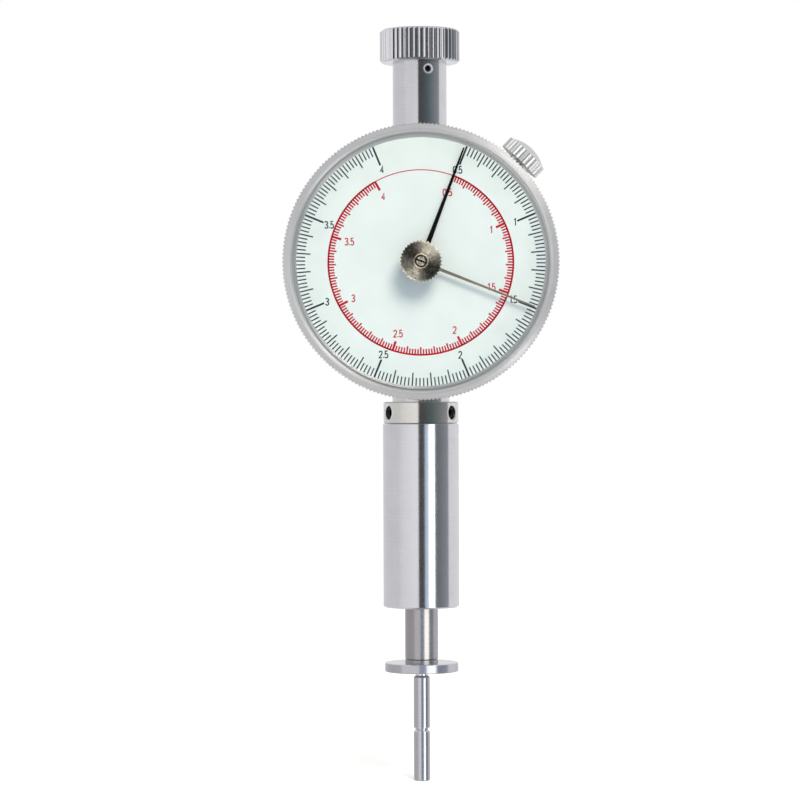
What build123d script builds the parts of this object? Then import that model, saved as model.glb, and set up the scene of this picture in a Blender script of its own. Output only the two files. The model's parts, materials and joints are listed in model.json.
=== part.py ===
"""Fruit hardness tester: a dial gauge that reads the push on a probe pin.

Sizes are in mm. The plunger axis is Z, the middle of the spring sleeve is Z = 0, and the dial faces -Y.
"""
import os
from math import acos, cos, dist, pi, radians, sin, tan

from build123d import *

os.makedirs("parts", exist_ok=True)

# Barrel: sleeve, collar, plunger, flange and probe
BARREL_R = 8.2
SLEEVE_LEN = 39.2
SLEEVE_WALL = 1.4
SLEEVE_FLOOR = 4.0
COLLAR_H = 4.6
COLLAR_STEP = 0.2
COLLAR_WALL = 3.0
COLLAR_SPIGOT = 6.0
COLLAR_FLOOR = 1.8
PLUNGER_R = 3.55
PLUNGER_RISE = 16.0
PLUNGER_BUSH_WALL = 1.2
PLUNGER_FLANGE_T = 0.5
PLUNGER_LINE_UP = 0.65
STROKE = 9.94
STROKE_SPARE = 1.85
FLANGE_R = 7.85
FLANGE_T = 1.95
PROBE_R = 1.75
PROBE_LEN = 23.3
PROBE_SHOULDER = 0.45
PROBE_NECK = 0.85
PROBE_GRIP = 7.8
GROOVE_UP = 10.9
GROOVE_DEPTH = 0.4

# Gauge head: bezel, window and case
BEZEL_R = 29.0
BEZEL_GAP = 0.25
BEZEL_TEETH = 216
BEZEL_TOOTH = 0.35
BEZEL_WALL = 2.0
BEZEL_LAND = 0.7
BEZEL_LIP = 1.2
BEZEL_SPIGOT_WALL = 1.7
RING_W = 1.0
RING_T = 1.4
RING_LAND = 0.1
RING_GROOVE = 0.5
RING_GROOVE_W = 0.35
WINDOW_T = 1.2
SPACER_WALL = 0.8
DIAL_ROOM = 2.4
DIAL_T = 0.6
DIAL_HOLE_R = 2.2
DIAL_SEAT_T = 1.2
CASE_BACK = -10.0
CASE_FRONT = 10.0
CASE_WALL = 3.8
FRONT_WALL = 2.55
LEDGE_W = 3.75
LEDGE_T = 2.5
COVER_T = 1.6
SNAP_T = 0.6
SNAP_LAND = 0.4
SNAP_BITE = 0.4
SNAP_CUT = 0.5
SNAP_OPENING = 6.0

# Stems and knobs; the lock knob's angle is clockwise from the top of the dial
STEM_R = 5.8
STEM_RISE = 43.1
STEM_SEAT_CUT = 0.75
STEM_SPIGOT = 3.4
STEM_SPIGOT_WALL = 1.0
NECK_SHOULDER = 1.1
TOP_KNOB_R = 8.5
TOP_KNOB_H = 7.0
TOP_KNOB_TEETH = 48
KNOB_SPIGOT = 4.0
KNOB_SPIGOT_WALL = 1.8
KNOB_TOOTH = 0.35
LOCK_KNOB_R = 4.9
LOCK_KNOB_T = 2.5
LOCK_KNOB_DOME = 1.4
LOCK_KNOB_TEETH = 30
LOCK_ANGLE = 44.3
LOCK_STUD_R = 1.5
LOCK_STUD_GRIP = 2.0
LOCK_SHOULDER = 0.9
LOCK_STANDOFF = 0.85

# Movement: rod, rack, pinion, plate and guide
ROD_R = 2.0
ROD_SHOULDER = 0.5
ROD_THREAD = 5.8
ROD_FLAT = 0.5
BUSH_WALL = 0.8
UPPER_BUSH = 4.0
LOWER_BUSH = 8.0
RACK_T = 1.6
RACK_BAR = 2.26
RACK_FOOT = 3.2
RACK_RUNOUT = 0.56
MODULE = 0.3
PINION_TEETH = 12
PINION_OVERHANG = 0.3
PRESSURE_ANGLE = radians(20)
PINION_ADDENDUM = 0.24
PINION_DEDENDUM = 0.375
RACK_ADDENDUM = 0.2
RACK_DEDENDUM = 0.34
FLANK_STEPS = 4
ARBOR_R = 0.5
ARBOR_LEAD = 0.15
ARBOR_BUSH_WALL = 1.0
ARBOR_FLANGE_R = 2.6
ARBOR_FLANGE_T = 0.8
ARBOR_NOSE_WALL = 0.8
PLATE_T = 1.4
GUIDE_PIN_R = 0.6
GUIDE_PIN_GRIP = 3.2
GUIDE_PIN_DROP = 11.3
GUIDE_STANDOFF = 1.0
GUIDE_WALL = 1.4
GUIDE_LIP = 0.95
GUIDE_MARGIN = 2.0

# Pointers and reset knob; angles are clockwise from the top of the dial
POINTER_GAP = 0.6
POINTER_T = 0.25
POINTER_HUB_R = 1.1
POINTER_EYE = 0.7
DRIVE_ANGLE = 20.8
DRIVE_ROOT = 1.15
DRIVE_TIP = 0.32
DRIVE_HUB_T = 0.3
DRIVE_HUB_LIP = 0.5
DRIVE_HUB_LIFT = 0.4
PEAK_ANGLE = 111.6
PEAK_ROOT = 0.75
PEAK_TIP = 0.3
PEAK_HUB_WALL = 0.7
PEAK_HUB_T = 0.6
PEAK_HUB_LIP = 0.15
CARRY_PIN_R = 0.2
CARRY_PIN_REACH = 9.0
RESET_KNOB_R = 4.4
RESET_KNOB_T = 2.3
RESET_KNOB_TEETH = 36
RESET_KNOB_LIFT = 0.7
RESET_FACE_FALL = 0.15
RESET_RECESS = 1.0
RESET_WEB = 0.3
RESET_SHAFT_R = 0.8
RESET_BUSH_WALL = 0.8
RESET_FLANGE_W = 1.0
RESET_FLANGE_T = 0.3
RESET_RIVET_W = 0.6
WASHER_T = 0.18

# Main spring, its seat and the seat's clip
WIRE_R = 0.35
WIRE_SIDES = 8
SPRING_QUARTERS = 29
SPRING_FIT = 0.15
SEAT_T = 1.2
SEAT_LIP = 1.2
SEAT_LIP_WALL = 0.95
CLIP_T = 0.6
CLIP_W = 1.85
CLIP_BITE = 0.55

# Screws; the collar's and the stem's are placed by their azimuth from the front towards the right
SLOT_W = 0.4
CSK_ANGLE = 90
HEX_SIDES = 6
PLATE_SCREW_R = 0.8
PLATE_SCREW_HEAD = 1.4
PLATE_SCREW_LEN = 3.4
PLATE_SCREWS = 3
PLATE_SCREW_ANGLE = 0
COVER_SCREW_R = 1.0
COVER_SCREW_HEAD = 1.8
COVER_SCREW_LEN = 6.0
COVER_SCREW_EDGE = 0.4
COVER_SCREWS = 4
COVER_SCREW_ANGLE = 45
RACK_SCREW_R = 0.6
RACK_SCREW_LEN = 3.4
RACK_HEAD_R = 1.1
RACK_HEAD_T = 0.55
RESET_SCREW_R = 0.5
RESET_SCREW_LEN = 2.0
RESET_HEAD_R = 1.0
RESET_HEAD_T = 0.7
COLLAR_SCREW_R = 1.45
COLLAR_SCREW_DEEP = 0.8
COLLAR_SCREWS = 3
COLLAR_SCREW_ANGLE = 177.55
COLLAR_HEX_R = 0.87
COLLAR_HEX = 1.3
STEM_SCREW_R = 0.68
STEM_SCREW_DEEP = 0.6
STEM_SCREW_ANGLE = 18.0
STEM_SCREW_DROP = 1.7
STEM_HEX_R = 0.4
STEM_HEX = 0.5
GUIDE_PIN_ANGLE = 90.0

# Clearances
RUN_FIT = 0.05
PIVOT_FIT = 0.03
FLANK_FIT = 0.03
REST_GAP = 0.05
CARRY_GAP = 0.15
TURN_GAP = 0.2
FREE_GAP = 0.3
ROD_GAP = 0.4
NOSE_GAP = 0.6
ROD_END_GAP = 1.0
BUSH_GAP = 1.0
COLLAR_GAP = 1.2

# Tooth shapes: points of one tooth as (share of the pitch, share of the depth below the tip)
POINTED = [(0, 0), (0.5, 1)]
CROWNED = [(0, 0), (0.25, 0.25), (0.5, 1), (0.75, 0.25)]

# Edge breaks
FINE_EDGE = 0.15
EDGE = 0.3
KNOB_EDGE = 0.5

# Radii of the gauge head, from the bezel inwards
CASE_R = BEZEL_R - BEZEL_LIP
CAVITY_R = CASE_R - CASE_WALL
FRONT_BORE_R = CASE_R - FRONT_WALL
LEDGE_R = FRONT_BORE_R - LEDGE_W
BEZEL_SPIGOT_R = FRONT_BORE_R - RUN_FIT
SPIGOT_BORE_R = BEZEL_SPIGOT_R - BEZEL_SPIGOT_WALL
SNAP_R = FRONT_BORE_R + SNAP_BITE
SNAP_GROOVE_R = BEZEL_SPIGOT_R - SNAP_CUT
WINDOW_SEAT_R = BEZEL_R - BEZEL_WALL
BEZEL_LAND_R = WINDOW_SEAT_R + BEZEL_LAND
OPENING_R = WINDOW_SEAT_R - RING_W
SPACER_R = WINDOW_SEAT_R - SPACER_WALL
POINTER_LEN = SPACER_R - POINTER_GAP

# Radii of the barrel, the stems, the rod and the reset knob
SLEEVE_BORE_R = BARREL_R - SLEEVE_WALL
COLLAR_R = BARREL_R - COLLAR_STEP
LOWER_STEM_R = COLLAR_R - COLLAR_WALL
NECK_R = LOWER_STEM_R + NECK_SHOULDER
PROBE_SHANK_R = PROBE_R - PROBE_SHOULDER
PLUNGER_BUSH_R = PLUNGER_R + PLUNGER_BUSH_WALL
PLUNGER_FLANGE_R = SLEEVE_BORE_R - BUSH_GAP
CLIP_GROOVE_R = PLUNGER_R - CLIP_BITE
CLIP_R = PLUNGER_R + CLIP_W
SEAT_R = SLEEVE_BORE_R - FREE_GAP
SEAT_LIP_R = PLUNGER_R + SEAT_LIP_WALL
SPRING_R = SEAT_LIP_R + SPRING_FIT + WIRE_R
KNOB_SPIGOT_R = STEM_R - KNOB_SPIGOT_WALL
ROD_THREAD_R = ROD_R - ROD_SHOULDER
GUIDE_BUSH_R = ROD_R + BUSH_WALL
STEM_SPIGOT_R = GUIDE_BUSH_R + STEM_SPIGOT_WALL
STEM_BORE_R = ROD_R + ROD_GAP
ARBOR_BUSH_R = ARBOR_R + ARBOR_BUSH_WALL
ARBOR_NOSE_R = ARBOR_R + ARBOR_NOSE_WALL
PITCH_R = MODULE * PINION_TEETH / 2
PITCH = MODULE * pi
RESET_BUSH_R = RESET_SHAFT_R + RESET_BUSH_WALL
RESET_FLANGE_R = RESET_BUSH_R + RESET_FLANGE_W
RESET_RIVET_R = RESET_BUSH_R + RESET_RIVET_W
RESET_RECESS_R = RESET_HEAD_R + FREE_GAP
PEAK_HUB_R = RESET_SHAFT_R + PEAK_HUB_WALL

# Heights along the plunger axis
SLEEVE_TOP = SLEEVE_LEN / 2
SLEEVE_FOOT = -SLEEVE_LEN / 2
FLOOR_TOP = SLEEVE_FOOT + SLEEVE_FLOOR
COLLAR_TOP = SLEEVE_TOP + COLLAR_H
SPRING_TOP = SLEEVE_TOP - COLLAR_SPIGOT
LOWER_STEM_END = SPRING_TOP + COLLAR_FLOOR
DIAL_Z = COLLAR_TOP + BEZEL_GAP + BEZEL_R
STEM_TOP = DIAL_Z + STEM_RISE
STEM_REACH = CASE_R - STEM_SEAT_CUT
NECK_TOP = DIAL_Z - STEM_REACH
STEM_FOOT = DIAL_Z + STEM_REACH
ROD_TOP = STEM_TOP - KNOB_SPIGOT - STROKE - ROD_END_GAP
PLUNGER_TOP = SLEEVE_FOOT + PLUNGER_RISE
FLANGE_TOP = SLEEVE_FOOT - STROKE - STROKE_SPARE
FLANGE_FOOT = FLANGE_TOP - FLANGE_T
PLUNGER_LINE_Z = FLANGE_TOP + PLUNGER_LINE_UP
SHANK_TOP = FLANGE_TOP + PROBE_GRIP
PROBE_TIP = FLANGE_FOOT - PROBE_LEN
NECK_FOOT = FLANGE_FOOT - PROBE_NECK
GROOVE_Z = PROBE_TIP + GROOVE_UP
CLIP_Z = FLOOR_TOP + PLUNGER_FLANGE_T + REST_GAP
SEAT_Z = CLIP_Z + CLIP_T
SPRING_FOOT = SEAT_Z + SEAT_T

# Depths in front of the plunger axis, from the rack to the bezel's front
RACK_SEAT = ROD_R - ROD_FLAT
RACK_FRONT = RACK_SEAT + RACK_T
PINION_BACK = RACK_SEAT + FREE_GAP
PINION_FRONT = RACK_FRONT + PINION_OVERHANG
ARBOR_BUSH_BACK = PINION_FRONT + TURN_GAP
PLATE_BACK = RACK_FRONT + RACK_HEAD_T + FREE_GAP
PLATE_FRONT = PLATE_BACK + PLATE_T
LEDGE_BACK = PLATE_BACK - LEDGE_T
SPIGOT_BACK = PLATE_FRONT + FREE_GAP
BEZEL_BACK = CASE_FRONT + TURN_GAP
SNAP_FRONT = CASE_FRONT - SNAP_LAND
SNAP_BACK = SNAP_FRONT - SNAP_T
LOCK_DEPTH = SNAP_BACK - TURN_GAP - LOCK_STUD_R
DIAL_BACK = BEZEL_BACK + DIAL_SEAT_T
DIAL_FRONT = DIAL_BACK + DIAL_T
WINDOW_BACK = DIAL_FRONT + DIAL_ROOM
WINDOW_FRONT = WINDOW_BACK + WINDOW_T
BEZEL_FRONT = WINDOW_FRONT + RING_T
ARBOR_NOSE_FRONT = DIAL_BACK - NOSE_GAP
DRIVE_HUB_BACK = DIAL_FRONT + DRIVE_HUB_LIFT
DRIVE_BACK = DRIVE_HUB_BACK + DRIVE_HUB_T
DRIVE_FRONT = DRIVE_BACK + POINTER_T
ARBOR_FRONT = DRIVE_FRONT + ARBOR_LEAD
RIVET_BACK = WINDOW_BACK - RESET_FLANGE_T
PEAK_HUB_FRONT = RIVET_BACK - REST_GAP
PEAK_HUB_BACK = PEAK_HUB_FRONT - PEAK_HUB_T
PEAK_BACK = PEAK_HUB_FRONT - PEAK_HUB_LIP - POINTER_T
RESET_BACK = WINDOW_FRONT + RESET_KNOB_LIFT
RESET_FRONT = RESET_BACK + RESET_KNOB_T

# Planes and axes: turned profiles are drawn as (radius, distance along the axis)
BARREL = Plane.XZ
DIAL_AXIS = Axis((0, 0, DIAL_Z), (0, -1, 0))
DIAL = Plane(origin=(0, 0, DIAL_Z), x_dir=(1, 0, 0), z_dir=(0, 0, -1))
FACE = Plane(origin=(0, 0, DIAL_Z), x_dir=(1, 0, 0), z_dir=(0, -1, 0))
REAR = Plane(origin=(0, 0, DIAL_Z), x_dir=(-1, 0, 0), z_dir=(0, 1, 0))
LOCK_ORIGIN = (0, -LOCK_DEPTH, DIAL_Z)
LOCK_WAY = (sin(radians(LOCK_ANGLE)), 0, cos(radians(LOCK_ANGLE)))
LOCK_AXIS = Axis(LOCK_ORIGIN, LOCK_WAY)
LOCK = Plane(LOCK_ORIGIN, x_dir=(0, -1, 0), z_dir=LOCK_WAY)
LOCK_TURN = Plane(LOCK_ORIGIN, x_dir=(0, -1, 0), z_dir=(-LOCK_WAY[2], 0, LOCK_WAY[0]))


def outline(plane, points):
    """A flat face on a plane, bounded by straight lines through the points."""
    with BuildSketch(plane) as face:
        with BuildLine():
            Polyline(*points, close=True)
        make_face()
    return face.sketch


def tube_profile(inner, outer, start, end):
    """Points of a plain tube's turned profile."""
    return [(inner, start), (outer, start), (outer, end), (inner, end)]


def knurl(plane, radius, depth, count, tooth):
    """A toothed disc face: tips on the radius and roots below it by the depth."""
    points = []
    for step in range(count):
        for along, sunk in tooth:
            turn = 2 * pi * (step + along) / count
            reach = radius - depth * sunk
            points.append((reach * cos(turn), reach * sin(turn)))
    return outline(plane, points)


def side_plane(azimuth, height, reach=0.0):
    """A plane facing away from the barrel axis, at an azimuth from the front towards the right."""
    way = (sin(radians(azimuth)), -cos(radians(azimuth)), 0)
    return Plane(origin=(way[0] * reach, way[1] * reach, height), x_dir=(0, 0, 1), z_dir=way)


def spots(plane, points):
    """Locations of points on a plane."""
    return [plane.location * Location((x, y, 0)) for x, y in points]


def ring_spots(plane, radius, count, first):
    """Locations spaced evenly round a circle on a plane, from a first angle in degrees."""
    angles = [radians(first + 360 * step / count) for step in range(count)]
    return spots(plane, [(radius * cos(angle), radius * sin(angle)) for angle in angles])


def csk_screws(places, radius, head, length):
    """Slotted countersunk screws at some places, with their heads flush there."""
    cone = (head - radius) / tan(radians(CSK_ANGLE / 2))
    with BuildPart() as screws:
        with Locations(*places):
            Cylinder(radius, length, align=(Align.CENTER, Align.CENTER, Align.MAX))
            Cone(radius, head, cone, align=(Align.CENTER, Align.CENTER, Align.MAX))
            Box(2 * head, SLOT_W, SLOT_W, mode=Mode.SUBTRACT)
    return screws


def save(builder, name):
    """Label a finished part and write its file."""
    builder.part.label = name
    export_step(builder.part, f"parts/{name}.step")


# Places that plates and their screws share
GUIDE_PIN_Z = DIAL_Z - GUIDE_PIN_DROP
GUIDE_FOOT_Z = GUIDE_PIN_Z - GUIDE_MARGIN
GUIDE_LEN = STROKE + 2 * GUIDE_MARGIN
GUIDE_LOW = -GUIDE_PIN_DROP
GUIDE_HIGH = GUIDE_LOW + STROKE
GUIDE_NEAR_X = ROD_R + GUIDE_STANDOFF
GUIDE_PIN_LEN = GUIDE_NEAR_X + GUIDE_PIN_GRIP
GUIDE_SLOT_X = GUIDE_PIN_LEN + ROD_GAP
GUIDE_FAR_X = GUIDE_SLOT_X + GUIDE_WALL
GUIDE_SCREW_X = (GUIDE_NEAR_X + GUIDE_FAR_X) / 2
PLATE_SCREW_RING = LEDGE_R + LEDGE_W / 2
COVER_SCREW_RING = CAVITY_R + COVER_SCREW_EDGE + COVER_SCREW_R
PLATE_SPOTS = ring_spots(FACE.offset(PLATE_FRONT), PLATE_SCREW_RING, PLATE_SCREWS, PLATE_SCREW_ANGLE)
GUIDE_SPOTS = spots(FACE.offset(PLATE_FRONT), [(GUIDE_SCREW_X, GUIDE_LOW), (GUIDE_SCREW_X, GUIDE_HIGH)])
COVER_SPOTS = ring_spots(REAR.offset(COVER_T - CASE_BACK), COVER_SCREW_RING, COVER_SCREWS, COVER_SCREW_ANGLE)

# Case: a turned shell, open in front for the bezel and behind for the cover
with BuildPart() as case_body:
    revolve(outline(DIAL, [
        (CASE_R - FINE_EDGE, CASE_BACK),
        (CASE_R, CASE_BACK + FINE_EDGE),
        (CASE_R, CASE_FRONT - FINE_EDGE),
        (CASE_R - FINE_EDGE, CASE_FRONT),
        (FRONT_BORE_R, CASE_FRONT),
        (FRONT_BORE_R, SNAP_FRONT),
        (SNAP_R, SNAP_FRONT),
        (SNAP_R, SNAP_BACK),
        (FRONT_BORE_R, SNAP_BACK),
        (FRONT_BORE_R, PLATE_BACK),
        (LEDGE_R, PLATE_BACK),
        (LEDGE_R, LEDGE_BACK),
        (CAVITY_R, LEDGE_BACK),
        (CAVITY_R, CASE_BACK),
    ]), axis=DIAL_AXIS)
    for seat_z, seat_r, way in ((STEM_FOOT, STEM_R, 1), (NECK_TOP, NECK_R, -1)):
        with BuildSketch(Plane.XY.offset(seat_z)):
            Circle(seat_r + FREE_GAP)
        extrude(amount=way * CASE_R, mode=Mode.SUBTRACT)
    with BuildSketch(Plane.XY.offset(DIAL_Z)):
        Circle(STEM_SPIGOT_R)
    extrude(amount=CASE_R, both=True, mode=Mode.SUBTRACT)
    with BuildSketch(LOCK):
        Circle(LOCK_STUD_R + RUN_FIT)
    extrude(amount=CASE_R, mode=Mode.SUBTRACT)
    with Locations(*PLATE_SPOTS):
        Hole(PLATE_SCREW_R, PLATE_SCREW_LEN)
    with Locations(*COVER_SPOTS):
        Hole(COVER_SCREW_R, COVER_SCREW_LEN)
save(case_body, "case_body")

# Back cover: a flat disc on countersunk screws
with BuildPart() as back_cover:
    with BuildSketch(REAR.offset(-CASE_BACK)):
        Circle(CASE_R)
    extrude(amount=COVER_T)
    chamfer(back_cover.edges().group_by(Axis.Y)[-1], KNOB_EDGE)
    chamfer(back_cover.edges().group_by(Axis.Y)[0], FINE_EDGE)
    with Locations(*COVER_SPOTS):
        CounterSinkHole(COVER_SCREW_R, COVER_SCREW_HEAD, counter_sink_angle=CSK_ANGLE)
save(back_cover, "back_cover")
save(csk_screws(COVER_SPOTS, COVER_SCREW_R, COVER_SCREW_HEAD, COVER_SCREW_LEN), "back_cover_screws")

# Upper stem: a tube on the case's upper seat, with the rod's upper bush in its foot
STEM_SCREW_Z = STEM_TOP - STEM_SCREW_DROP
STEM_SCREW_LEN = STEM_R - KNOB_SPIGOT_R - STEM_SCREW_DEEP
UPPER_BUSH_Z = STEM_FOOT - STEM_SPIGOT
with BuildPart() as upper_stem:
    revolve(outline(BARREL, [
        (GUIDE_BUSH_R, UPPER_BUSH_Z),
        (STEM_SPIGOT_R, UPPER_BUSH_Z),
        (STEM_SPIGOT_R, STEM_FOOT),
        (STEM_R, STEM_FOOT),
        (STEM_R, STEM_TOP),
        (KNOB_SPIGOT_R, STEM_TOP),
        (KNOB_SPIGOT_R, STEM_TOP - KNOB_SPIGOT),
        (STEM_BORE_R, STEM_TOP - KNOB_SPIGOT),
        (STEM_BORE_R, UPPER_BUSH_Z + UPPER_BUSH),
        (GUIDE_BUSH_R, UPPER_BUSH_Z + UPPER_BUSH),
    ]), axis=Axis.Z)
    with Locations(side_plane(STEM_SCREW_ANGLE, STEM_SCREW_Z, STEM_R)):
        CounterSinkHole(STEM_SCREW_R, STEM_SCREW_R + EDGE, STEM_R, CSK_ANGLE)
save(upper_stem, "upper_stem")

with BuildPart() as upper_guide_bush:
    revolve(outline(BARREL, tube_profile(
        ROD_R + RUN_FIT, GUIDE_BUSH_R, UPPER_BUSH_Z, UPPER_BUSH_Z + UPPER_BUSH)), axis=Axis.Z)
save(upper_guide_bush, "upper_guide_bush")

with BuildPart() as stem_set_screw:
    with BuildSketch(side_plane(STEM_SCREW_ANGLE, STEM_SCREW_Z, KNOB_SPIGOT_R)):
        Circle(STEM_SCREW_R)
    extrude(amount=STEM_SCREW_LEN)
    with BuildSketch(side_plane(STEM_SCREW_ANGLE, STEM_SCREW_Z, KNOB_SPIGOT_R + STEM_SCREW_LEN)):
        RegularPolygon(STEM_HEX_R, HEX_SIDES)
    extrude(amount=-STEM_HEX, mode=Mode.SUBTRACT)
save(stem_set_screw, "stem_set_screw")

# Top knob: a knurled cap with a spigot in the stem's mouth
TOP_KNOB_TOP = STEM_TOP + TOP_KNOB_H
with BuildPart() as top_knob:
    teeth = knurl(Plane.XY.offset(STEM_TOP), TOP_KNOB_R, KNOB_TOOTH, TOP_KNOB_TEETH, CROWNED)
    extrude(teeth, amount=TOP_KNOB_H)
    revolve(outline(BARREL, [
        (0, STEM_TOP),
        (TOP_KNOB_R - KNOB_EDGE, STEM_TOP),
        (TOP_KNOB_R, STEM_TOP + KNOB_EDGE),
        (TOP_KNOB_R, TOP_KNOB_TOP - KNOB_EDGE),
        (TOP_KNOB_R - KNOB_EDGE, TOP_KNOB_TOP),
        (0, TOP_KNOB_TOP),
    ]), axis=Axis.Z, mode=Mode.INTERSECT)
    with BuildSketch(Plane.XY.offset(STEM_TOP)):
        Circle(KNOB_SPIGOT_R)
    extrude(amount=-KNOB_SPIGOT)
save(top_knob, "top_knob")

# Lower stem: a shouldered tube from the case's lower seat into the collar
LOWER_BUSH_TOP = LOWER_STEM_END + LOWER_BUSH
with BuildPart() as lower_stem:
    revolve(outline(BARREL, [
        (GUIDE_BUSH_R, LOWER_STEM_END),
        (LOWER_STEM_R, LOWER_STEM_END),
        (LOWER_STEM_R, COLLAR_TOP),
        (NECK_R, COLLAR_TOP),
        (NECK_R, NECK_TOP),
        (STEM_SPIGOT_R, NECK_TOP),
        (STEM_SPIGOT_R, NECK_TOP + STEM_SPIGOT),
        (STEM_BORE_R, NECK_TOP + STEM_SPIGOT),
        (STEM_BORE_R, LOWER_BUSH_TOP),
        (GUIDE_BUSH_R, LOWER_BUSH_TOP),
    ]), axis=Axis.Z)
save(lower_stem, "lower_stem")

with BuildPart() as lower_guide_bush:
    revolve(outline(BARREL, tube_profile(
        ROD_R + RUN_FIT, GUIDE_BUSH_R, LOWER_STEM_END, LOWER_BUSH_TOP)), axis=Axis.Z)
save(lower_guide_bush, "lower_guide_bush")

# Collar: carries the sleeve on its spigot and is clamped to the stem by set screws
COLLAR_SCREW_Z = SLEEVE_TOP + COLLAR_H / 2
COLLAR_SCREW_LEN = COLLAR_R - LOWER_STEM_R - COLLAR_SCREW_DEEP
COLLAR_AZIMUTHS = [COLLAR_SCREW_ANGLE + 360 * step / COLLAR_SCREWS for step in range(COLLAR_SCREWS)]
with BuildPart() as collar:
    revolve(outline(BARREL, [
        (ROD_R + COLLAR_GAP, SPRING_TOP),
        (SLEEVE_BORE_R, SPRING_TOP),
        (SLEEVE_BORE_R, SLEEVE_TOP),
        (COLLAR_R - FINE_EDGE, SLEEVE_TOP),
        (COLLAR_R, SLEEVE_TOP + FINE_EDGE),
        (COLLAR_R, COLLAR_TOP - FINE_EDGE),
        (COLLAR_R - FINE_EDGE, COLLAR_TOP),
        (LOWER_STEM_R, COLLAR_TOP),
        (LOWER_STEM_R, LOWER_STEM_END),
        (ROD_R + COLLAR_GAP, LOWER_STEM_END),
    ]), axis=Axis.Z)
    for azimuth in COLLAR_AZIMUTHS:
        with Locations(side_plane(azimuth, COLLAR_SCREW_Z, COLLAR_R)):
            CounterSinkHole(COLLAR_SCREW_R, COLLAR_SCREW_R + EDGE, COLLAR_R, CSK_ANGLE)
save(collar, "collar")

with BuildPart() as collar_set_screws:
    for azimuth in COLLAR_AZIMUTHS:
        with BuildSketch(side_plane(azimuth, COLLAR_SCREW_Z, LOWER_STEM_R)):
            Circle(COLLAR_SCREW_R)
        extrude(amount=COLLAR_SCREW_LEN)
        with BuildSketch(side_plane(azimuth, COLLAR_SCREW_Z, LOWER_STEM_R + COLLAR_SCREW_LEN)):
            RegularPolygon(COLLAR_HEX_R, HEX_SIDES)
        extrude(amount=-COLLAR_HEX, mode=Mode.SUBTRACT)
save(collar_set_screws, "collar_set_screws")

# Spring sleeve: a tube with a floor that holds the plunger's bush
with BuildPart() as spring_sleeve:
    revolve(outline(BARREL, [
        (PLUNGER_BUSH_R, SLEEVE_FOOT),
        (BARREL_R - EDGE, SLEEVE_FOOT),
        (BARREL_R, SLEEVE_FOOT + EDGE),
        (BARREL_R, SLEEVE_TOP - FINE_EDGE),
        (BARREL_R - FINE_EDGE, SLEEVE_TOP),
        (SLEEVE_BORE_R, SLEEVE_TOP),
        (SLEEVE_BORE_R, FLOOR_TOP),
        (PLUNGER_BUSH_R, FLOOR_TOP),
    ]), axis=Axis.Z)
save(spring_sleeve, "spring_sleeve")

with BuildPart() as plunger_bush:
    revolve(outline(BARREL, [
        (PLUNGER_R + RUN_FIT, SLEEVE_FOOT),
        (PLUNGER_BUSH_R, SLEEVE_FOOT),
        (PLUNGER_BUSH_R, FLOOR_TOP),
        (PLUNGER_FLANGE_R, FLOOR_TOP),
        (PLUNGER_FLANGE_R, FLOOR_TOP + PLUNGER_FLANGE_T),
        (PLUNGER_R + RUN_FIT, FLOOR_TOP + PLUNGER_FLANGE_T),
    ]), axis=Axis.Z)
save(plunger_bush, "plunger_bush")

# Plunger: slides in the sleeve's bush, grooved for the clip that stops it and with a fine line at its foot
with BuildPart() as plunger:
    revolve(outline(BARREL, [
        (PROBE_SHANK_R, FLANGE_TOP),
        (PLUNGER_R, FLANGE_TOP),
        (PLUNGER_R, PLUNGER_LINE_Z - FINE_EDGE),
        (PLUNGER_R - FINE_EDGE, PLUNGER_LINE_Z),
        (PLUNGER_R, PLUNGER_LINE_Z + FINE_EDGE),
        (PLUNGER_R, CLIP_Z),
        (CLIP_GROOVE_R, CLIP_Z),
        (CLIP_GROOVE_R, SEAT_Z),
        (PLUNGER_R, SEAT_Z),
        (PLUNGER_R, PLUNGER_TOP - EDGE),
        (PLUNGER_R - EDGE, PLUNGER_TOP),
        (ROD_THREAD_R, PLUNGER_TOP),
        (ROD_THREAD_R, PLUNGER_TOP - ROD_THREAD),
        (0, PLUNGER_TOP - ROD_THREAD),
        (0, SHANK_TOP),
        (PROBE_SHANK_R, SHANK_TOP),
    ]), axis=Axis.Z)
save(plunger, "plunger")

with BuildPart() as seat_clip:
    revolve(outline(BARREL, tube_profile(CLIP_GROOVE_R, CLIP_R, CLIP_Z, SEAT_Z)), axis=Axis.Z)
    with BuildSketch(Plane.XY.offset(CLIP_Z)):
        Rectangle(CLIP_GROOVE_R, CLIP_R, align=(Align.CENTER, Align.MIN))
    extrude(amount=CLIP_T, mode=Mode.SUBTRACT)
save(seat_clip, "seat_clip")

with BuildPart() as spring_seat:
    revolve(outline(BARREL, [
        (PLUNGER_R, SEAT_Z),
        (SEAT_R, SEAT_Z),
        (SEAT_R, SPRING_FOOT),
        (SEAT_LIP_R, SPRING_FOOT),
        (SEAT_LIP_R, SPRING_FOOT + SEAT_LIP),
        (PLUNGER_R, SPRING_FOOT + SEAT_LIP),
    ]), axis=Axis.Z)
save(spring_seat, "spring_seat")

# Stop flange and probe pin: the pin's shank goes through the flange into the plunger
with BuildPart() as stop_flange:
    revolve(outline(BARREL, [
        (PROBE_SHANK_R, FLANGE_FOOT),
        (FLANGE_R - FINE_EDGE, FLANGE_FOOT),
        (FLANGE_R, FLANGE_FOOT + FINE_EDGE),
        (FLANGE_R, FLANGE_TOP - FINE_EDGE),
        (FLANGE_R - FINE_EDGE, FLANGE_TOP),
        (PROBE_SHANK_R, FLANGE_TOP),
    ]), axis=Axis.Z)
save(stop_flange, "stop_flange")

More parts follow.
